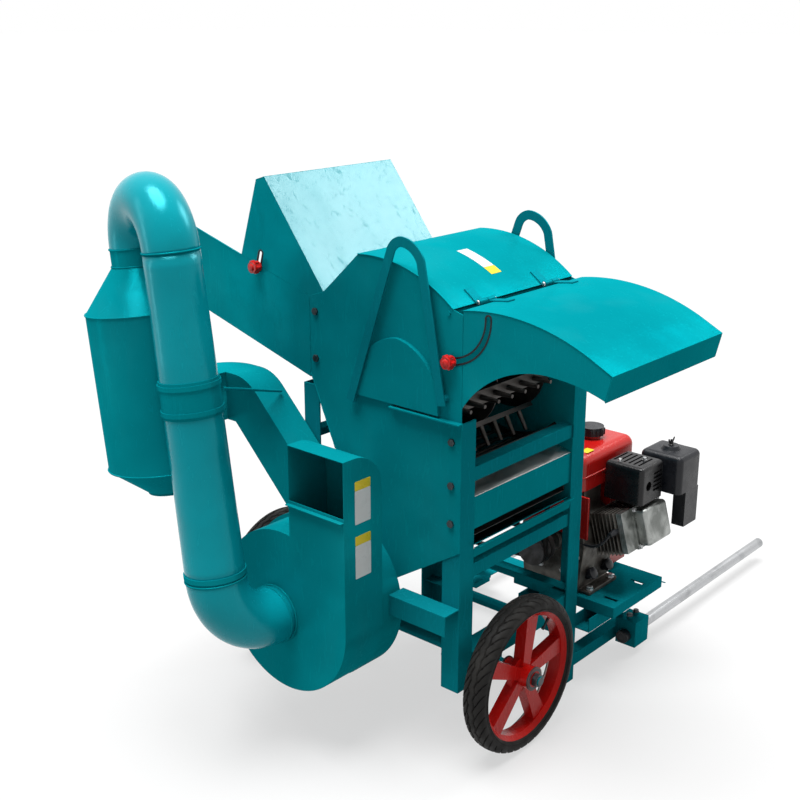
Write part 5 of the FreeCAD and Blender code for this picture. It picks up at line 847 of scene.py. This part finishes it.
@dataclass
class Blowing:
    """Blower, thrower and duct, the suction run, the cyclone and the shaft with its wheels."""

    shaft_x: float = -118.0
    shaft_z: float = 303.0
    fan_front: float = -405.0
    fan_back: float = -297.0
    fan_wall: float = 80.0
    collar: float = 14.0
    bend: float = 128.0
    radius: float = 60.0
    top_radius: float = 54.0
    pipe_length: float = 643.0
    top_bend: float = 92.0
    heading: float = 163.0
    lean: float = 7.3
    wall: float = 1.5

    def leaned(self, points: np.ndarray) -> np.ndarray:
        """Points tilted with the pipe about the blower's shaft: x = s + dx cos - dz sin, z = s + dx sin + dz cos."""
        turn = math.radians(self.lean)
        dx, dz = points[..., 0] - self.shaft_x, points[..., 2] - self.shaft_z
        return np.stack([self.shaft_x + dx * math.cos(turn) - dz * math.sin(turn), points[..., 1],
                         self.shaft_z + dx * math.sin(turn) + dz * math.cos(turn)], -1)

    def ring(self, place: Spot, axis: Sequence, radius: float, bead: float = 2.0) -> np.ndarray:
        """A circle of points round a leaned middle, square to an axis."""
        first, second = square_to(unit(np.asarray(axis, float))[None])
        return self.leaned(arc_points(place, radius, 0, 358, first[0], second[0], 150))

    def pipe_shell(self, name: str, path: np.ndarray, radii: float | np.ndarray, node: str) -> None:
        """A thin pipe along a path: an open tube of points p = path + radius (cos a n + sin a b), given its wall.

        Args:
            name: the piece's name.
            path: the leaned middle line.
            radii: the outer radius, or one for each point.
            node: the CAD node that the pipe stands for.
        """
        tube = swept(path, radii, 72)
        points, ring = tube.points[72:-72], len(path)
        shell = Shape(points, grid_quads(ring, 72, False, True))
        piece = make_piece(name, shell, TEAL_PIPE, "frame", 50.0)
        wall = piece.modifiers.new("wall", "SOLIDIFY")
        wall.thickness = self.wall / 1000.0
        wall.offset = -1.0
        frame["nodes"][node].data.materials.clear()
        frame["nodes"][node].data.materials.append(TEAL_PIPE.material())
        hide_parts(node)

    def build(self) -> None:
        """Ease the housings and bands, lay the smooth suction run and weld its joints."""
        for node in ("blower_housing", "thrower_housing", "thrower_duct", "cyclone"):
            eased(node, TEAL, 0.5)
        eased("pipe_bands", TEAL, 0.8)
        for node in ("blower_wheel", "thrower_wheel", "auger_shaft"):
            eased(node, WORN_STEEL, 0.3)
        start = self.fan_front - self.collar
        pipe_y, foot = start - self.bend, self.shaft_z + self.bend
        top = foot + self.pipe_length
        elbow = self.leaned(arc_points((self.shaft_x, start, foot), self.bend, 0, 90, (0, 0, -1), (0, -1, 0), 48))
        straight = np.array([[self.shaft_x, self.fan_front, self.shaft_z]])
        self.pipe_shell("smooth_elbow", np.concatenate([straight, elbow]), self.radius, "suction_elbow")
        way = np.linspace(0, 1, 24)[:, None]
        pipe = self.leaned(np.array([self.shaft_x, pipe_y, foot]) + way * np.array([0, 0, self.pipe_length]))
        self.pipe_shell("smooth_pipe", pipe, np.linspace(self.radius, self.top_radius, 24), "suction_pipe")
        turn = math.radians(self.heading)
        out = np.array([math.cos(turn), math.sin(turn), 0.0])
        crown_at = np.array([self.shaft_x, pipe_y, top]) + out * self.top_bend
        crown = self.leaned(arc_points(tuple(crown_at), self.top_bend, 180, 0, out, (0, 0, 1), 72))
        self.pipe_shell("smooth_top_bend", crown, self.top_radius, "top_bend")
        self.joints(start, pipe_y, foot, top, out)
        self.plates()

    def joints(self, start: float, pipe_y: float, foot: float, top: float, out: np.ndarray) -> None:
        """Weld beads round the pipe's joints, and the hems round the cyclone.

        Args:
            start: where the elbow begins, along Y.
            pipe_y: the pipe's middle along Y.
            foot: the pipe's lower end.
            top: the pipe's upper end.
            out: the direction from the pipe to the cyclone.
        """
        cyclone = np.array([self.shaft_x, pipe_y, top]) + out * 2 * self.top_bend
        rings = [self.ring((self.shaft_x, start + 0.5, self.shaft_z), Axis.Y.value, self.radius + 0.4),
                 self.ring((self.shaft_x, self.fan_front - 1.2, self.shaft_z), Axis.Y.value, self.radius + 0.6),
                 self.ring((self.shaft_x, pipe_y, foot), Axis.Z.value, self.radius + 0.3),
                 self.ring((self.shaft_x, pipe_y, top), Axis.Z.value, self.top_radius + 0.3),
                 self.ring(tuple(cyclone), Axis.Z.value, self.top_radius + 0.3)]
        weld("suction_joints", rings, "frame", 2.1, True, TEAL)
        cone_top, cone_foot = top - 34.0, top - 122.0
        hems = [self.ring((cyclone[0], cyclone[1], z), Axis.Z.value, radius)
                for z, radius in ((cone_top, 54.6), (cone_foot, 119.4), (cone_foot - 318.0, 119.4),
                                  (cone_foot - 378.0, 45.6))]
        weld("cyclone_hems", hems, "frame", 1.9, True, TEAL)

    def plates(self) -> None:
        """Two plain plates on the blower's wall: a white panel under a yellow head, with nothing on them."""
        for name, low, high in (("upper", 545.0, 634.0), ("lower", 430.0, 520.0)):
            tall, middle = high - low, -352.0
            panel = scattered(slab((tall * 0.78, 44.0, 0.5), 2.0),
                              [(self.fan_wall + 0.25, middle, low + tall * 0.39)], Axis.X.value)
            head = scattered(slab((tall * 0.215, 44.0, 0.5), 2.0),
                             [(self.fan_wall + 0.25, middle, high - tall * 0.11)], Axis.X.value)
            make_piece("blank_panel_" + name, panel, PLATE_WHITE, "frame")
            make_piece("blank_head_" + name, head, PLATE_YELLOW, "frame")


@dataclass
class Motor:
    """The engine on its plate, with the small parts that make it one."""

    crank_x: float = 110.0
    crank_z: float = 311.0
    engine_y: float = 262.0
    cylinder_y: float = 371.0
    tilt: float = 15.5
    tank_floor: float = 440.0
    tank_top: float = 525.0
    depth: float = 128.0

    def out(self, along: float, y: float, across: float) -> Spot:
        """A place in the cylinder's own frame: along the bore from the crank, and across it."""
        turn = math.radians(self.tilt)
        return (self.crank_x + along * math.cos(turn) - across * math.sin(turn), y,
                self.crank_z + along * math.sin(turn) + across * math.cos(turn))

    def bore(self) -> Spot:
        """The direction of the bore, from the crank outwards."""
        turn = math.radians(self.tilt)
        return (math.cos(turn), 0.0, math.sin(turn))

    def build(self) -> None:
        """Ease the castings and covers, then add fins, bolts, studs, wires and the wing nut."""
        eased("engine_plate", TEAL_BAR, 1.0)
        eased("crankcase", CASE, 2.0, 33.0, 3)
        bore = np.array(self.bore())
        head = np.dot(bore, self.out(158.0, 0.0, 0.0))
        repaint(eased("cylinder", CASE, 0.8), ALUMINIUM, lambda at: at @ bore > head)
        eased("valve_cover", ALUMINIUM, 1.5, 33.0, 3)
        eased("carburettor", ALUMINIUM, 1.2)
        eased("muffler", ENAMEL, 1.0, 33.0, 3)
        eased("air_cleaner", BLACK, 2.0, 33.0, 3)
        eased("fuel_tank", RED, 2.0, 33.0, 3)
        eased("fuel_cap", BLACK, 1.2, 33.0, 3)
        eased("engine_shroud", RED, 1.5, 33.0, 3)
        eased("recoil_starter", RED, 2.0, 33.0, 3)
        self.head_parts()
        self.case_parts()
        self.tank_parts()
        self.cleaner_parts()
        self.starter_parts()

    def head_parts(self) -> None:
        """Cover bolts, extra fins, the plug with its lead, and the muffler's studs."""
        corners = [self.out(178.0, self.cylinder_y + y, z) for y in (-22, 74) for z in (-44, 44)]
        bolts("cover_bolts", corners, self.bore(), "frame", 9.0, 6.0)
        fin = slab((94.0, 126.0, 1.6), 6.0)
        places = [self.out(95.5 + 10 * step + 2.5, self.cylinder_y, 0.0) for step in range(6)]
        make_piece("cylinder_fins", scattered(fin, places, self.bore()), CASE, "frame")
        tops = [(self.crank_x + x, self.cylinder_y + y, self.crank_z + 194) for x, y in ((112, -12), (150, 32))]
        bolts("muffler_studs", tops, Axis.Z.value, "frame", 8.5, 7.0)
        ends = [np.array(self.out(152, self.cylinder_y - 96, 6)), np.array(self.out(118, self.cylinder_y - 108, -34)),
                np.array(self.out(72, self.cylinder_y - 106, -6))]
        way = np.linspace(0, 1, 40)[:, None]
        lead = (1 - way) ** 2 * ends[0] + 2 * way * (1 - way) * ends[1] + way ** 2 * ends[2]
        make_piece("plug_lead", swept(lead, 3.2, 12), BLACK, "frame")
        plug = turned([(0, 0), (7.5, 0.5), (7.5, 14), (6.0, 17), (6.0, 30), (0, 31)],
                      self.out(152, self.cylinder_y - 66, 6), (0, -1, 0), 24)
        make_piece("plug_cap", plug, BLACK, "frame")

    def case_parts(self) -> None:
        """Cover bolts round the crank, the feet's bolts and two oil fillers."""
        ring = arc_points((self.crank_x, self.engine_y, self.crank_z), 76, 20, 340, Axis.X.value, Axis.Z.value, 8)
        bolts("case_bolts", ring, (0, -1, 0), "frame", 10.0, 5.5)
        feet = [(self.crank_x + x, self.engine_y + y, 205.0) for x in (-72, 96) for y in (20, 108)]
        bolts("foot_bolts", feet, Axis.Z.value, "frame", 14.0, 8.0)
        filler = turned([(0, -2), (11, -2), (11, 8), (14, 9), (14, 20), (9, 23), (0, 23)],
                        (self.crank_x + 80, self.engine_y + 34, 232), (0.86, 0, 0.5), 28)
        other = turned([(0, -2), (11, -2), (11, 8), (14, 9), (14, 20), (9, 23), (0, 23)],
                       (self.crank_x + 80, self.engine_y + 100, 232), (0.86, 0, 0.5), 28)
        make_piece("oil_fillers", Shape.joined([filler, other]), BLACK, "frame")

    def tank_parts(self) -> None:
        """The rolled seam round the tank and the small plain plate on its top."""
        seam = slab((236.0, 184.0, 4.0), 25.0, 10)
        place = [(self.crank_x - 20, self.engine_y + 122, self.tank_floor + 34)]
        make_piece("tank_seam", scattered(seam, place, (0, 0, 1)), RED, "frame", 50.0)
        plate = scattered(slab((30.0, 20.0, 0.5), 1.5),
                          [(self.crank_x + 46, self.engine_y + 60, self.tank_top + 0.2)], Axis.Z.value)
        make_piece("tank_blank_plate", plate, PLATE_YELLOW, "frame")

    def cleaner_parts(self) -> None:
        """The wing nut on the air cleaner, its stud, and the throttle's rod and spring."""
        top = (self.crank_x + 165, self.cylinder_y + 125, self.crank_z + 210)
        nut = turned([(0, -0.4), (6.5, -0.4), (6.5, 1.2), (4.6, 3.0), (4.6, 8.0), (2.6, 8.4), (2.6, 13.0), (0, 13.4)],
                     top, Axis.Z.value, 24)
        wing = np.array([[0, 2, 4], [0, 7, 7], [0, 11, 12.5], [0, 13, 16]])
        wings = [swept(np.array(top) + wing * np.array([1, way, 1]), [2.6, 3.0, 3.4, 2.6], 10, False, 0.4)
                 for way in (-1, 1)]
        make_piece("wing_nut", Shape.joined([nut, *wings]), ENAMEL, "frame")
        rod = run_points((self.crank_x + 82, self.cylinder_y + 70, self.crank_z + 96),
                         (self.crank_x + 40, self.cylinder_y + 40, self.crank_z + 112), gap=4.0)
        turns = np.linspace(0, 1, 220)[:, None]
        line = np.array([self.crank_x + 84, self.cylinder_y + 70, self.crank_z + 84]) * (1 - turns) + np.array(
            [self.crank_x + 46, self.cylinder_y + 46, self.crank_z + 100]) * turns
        wind = turns[:, 0] * 2 * math.pi * 22
        coil = line + 3.0 * np.stack([0.3 * np.cos(wind), np.sin(wind), np.cos(wind)], -1)
        parts = Shape.joined([swept(rod, 1.1, 8), swept(coil, 0.5, 5)])
        make_piece("throttle_rod", parts, ZINC, "frame")

    def starter_parts(self) -> None:
        """Air slots in the starter's cover: black round-ended strips set round its face, painted shade standing for
        the slots' dark openings.
        """
        face = self.engine_y + self.depth + 84 + 34
        strip = slab((26.0, 5.0, 1.0), 2.4, 5)
        count = 14
        angle = np.linspace(0, 2 * math.pi, count, endpoint=False)
        slots = []
        for turn in angle:
            place = (self.crank_x + 50 * math.cos(turn), face + 0.1, self.crank_z + 50 * math.sin(turn))
            turned_strip = strip.points @ np.array([[math.cos(turn), 0, math.sin(turn)],
                                                    [-math.sin(turn), 0, math.cos(turn)], [0, 1, 0]])
            slots.append(Shape(turned_strip + np.array(place), strip.quads))
        # Black strips as painted shade where the slots' openings would be.
        make_piece("starter_slots_painted_shade", Shape.joined(slots), BLACK, "frame")


@dataclass
class Drive:
    """Shaft pulleys, bearings and belts on the engine's side."""

    def build(self) -> None:
        """Ease the castings and the belts."""
        for node in ("drum_pulley", "blower_pulley", "engine_pulley", "shaft_bearings"):
            eased(node, IRON, 0.8)
        eased("drive_belts", BELT, 0.8)


@dataclass
class Studio:
    """A pale floor, a soft sky, a few soft lamps and the photograph's camera."""

    camera_place: Spot = (1.61639, -2.20640, 1.5)
    tilt: float = 72.2
    turn: float = 41.3
    lens: float = 55.4
    sky: float = 0.30
    sun: float = 4.8

    def build(self) -> None:
        """Make the floor, the world, the lamps and the camera."""
        self.floor()
        self.world()
        self.lamps()
        data = bpy.data.cameras.new("photo_camera")
        data.lens, data.sensor_width = self.lens, 36.0
        data.clip_end = 200.0
        camera = bpy.data.objects.new("photo_camera", data)
        camera.location = self.camera_place
        camera.rotation_euler = Euler((math.radians(self.tilt), 0.0, math.radians(self.turn)))
        bpy.context.scene.collection.objects.link(camera)
        bpy.context.scene.camera = camera
        bpy.context.scene.view_settings.view_transform = "Standard"

    def floor(self) -> None:
        """A wide white floor just under the wheels."""
        mesh = bpy.data.meshes.new("floor")
        reach = 60.0
        corners = np.array([[-reach, -reach, 0], [reach, -reach, 0], [reach, reach, 0], [-reach, reach, 0]])
        mesh.from_pydata(corners, [], [(0, 1, 2, 3)])
        material = bpy.data.materials.new("floor_white")
        material.use_nodes = True
        tree = material.node_tree
        shader = tree.nodes["Principled BSDF"]
        shader.inputs["Base Color"].default_value = (0.24, 0.24, 0.24, 1.0)
        glow = tree.nodes.new("ShaderNodeMapRange")
        glow.inputs["To Max"].default_value = 0.6
        tree.links.new(self.seen(tree), glow.inputs["Value"])
        tree.links.new(glow.outputs["Result"], shader.inputs["Emission Strength"])
        shader.inputs["Emission Color"].default_value = (1.0, 1.0, 1.0, 1.0)
        shader.inputs["Roughness"].default_value = 0.9
        shader.inputs["Specular IOR Level"].default_value = 0.0
        mesh.materials.append(material)
        floor = bpy.data.objects.new("floor", mesh)
        bpy.context.scene.collection.objects.link(floor)

    def world(self) -> None:
        """A soft sky that is white to the camera and in reflections, and dimmer as light."""
        world = bpy.data.worlds.new("soft_sky")
        world.use_nodes = True
        tree = world.node_tree
        level = tree.nodes.new("ShaderNodeMapRange")
        tree.links.new(self.seen(tree), level.inputs["Value"])
        level.inputs["To Min"].default_value = self.sky
        level.inputs["To Max"].default_value = 1.0
        tree.links.new(level.outputs["Result"], tree.nodes["Background"].inputs["Strength"])
        tree.nodes["Background"].inputs["Color"].default_value = (1.0, 1.0, 1.0, 1.0)
        bpy.context.scene.world = world

    def seen(self, tree: bpy.types.NodeTree) -> bpy.types.NodeSocket:
        """One for rays from the camera, in reflections and through glass, and nothing for the rest."""
        rays = tree.nodes.new("ShaderNodeLightPath")
        direct = rays.outputs["Is Camera Ray"]
        for other in ("Is Glossy Ray", "Is Transmission Ray"):
            either = tree.nodes.new("ShaderNodeMath")
            either.operation = "MAXIMUM"
            tree.links.new(direct, either.inputs[0])
            tree.links.new(rays.outputs[other], either.inputs[1])
            direct = either.outputs[0]
        return direct

    def lamps(self) -> None:
        """A broad sun from above, a tall strip at the left and a soft box behind."""
        sun = bpy.data.lights.new("high_sun", "SUN")
        sun.energy, sun.angle = self.sun, math.radians(40)
        lamp = bpy.data.objects.new("high_sun", sun)
        lamp.rotation_euler = Euler((math.radians(9), math.radians(-4), 0.0))
        bpy.context.scene.collection.objects.link(lamp)
        self.soft_box("left_strip", (-2.13, -2.41, 1.3), (-0.09, -0.8, 0.9), (0.3, 2.4), 3.0)
        self.soft_box("back_box", (0.875, 2.033, 2.99), (-0.203, -0.271, 1.052), (1.3, 1.3), 7.0)

    def soft_box(self, name: str, place: Spot, aim: Spot, size: tuple[float, float], level: float) -> None:
        """An area lamp aimed at a point; its power is level times pi times its area."""
        data = bpy.data.lights.new(name, "AREA")
        data.shape = "RECTANGLE"
        data.size, data.size_y = size
        data.energy = level * math.pi * size[0] * size[1]
        lamp = bpy.data.objects.new(name, data)
        lamp.location = place
        lamp.rotation_euler = (Vector(aim) - Vector(place)).to_track_quat("-Z", "Y").to_euler()
        bpy.context.scene.collection.objects.link(lamp)


def main() -> None:
    """Build the studio and the machine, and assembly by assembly."""
    logging.basicConfig(level=logging.INFO, format="%(name)s %(message)s")
    studio = Studio()
    studio.build()
    assemblies: list[Callable[[], None]] = [
        Wheel(Side.NEAR, 273.0).build, Wheel(Side.FAR, -440.0).build, Running().build, Threshing().build,
        Feeding().build, Blowing().build, Motor().build, Drive().build]
    for build in assemblies:
        build()


if __name__ == "__main__":
    main()
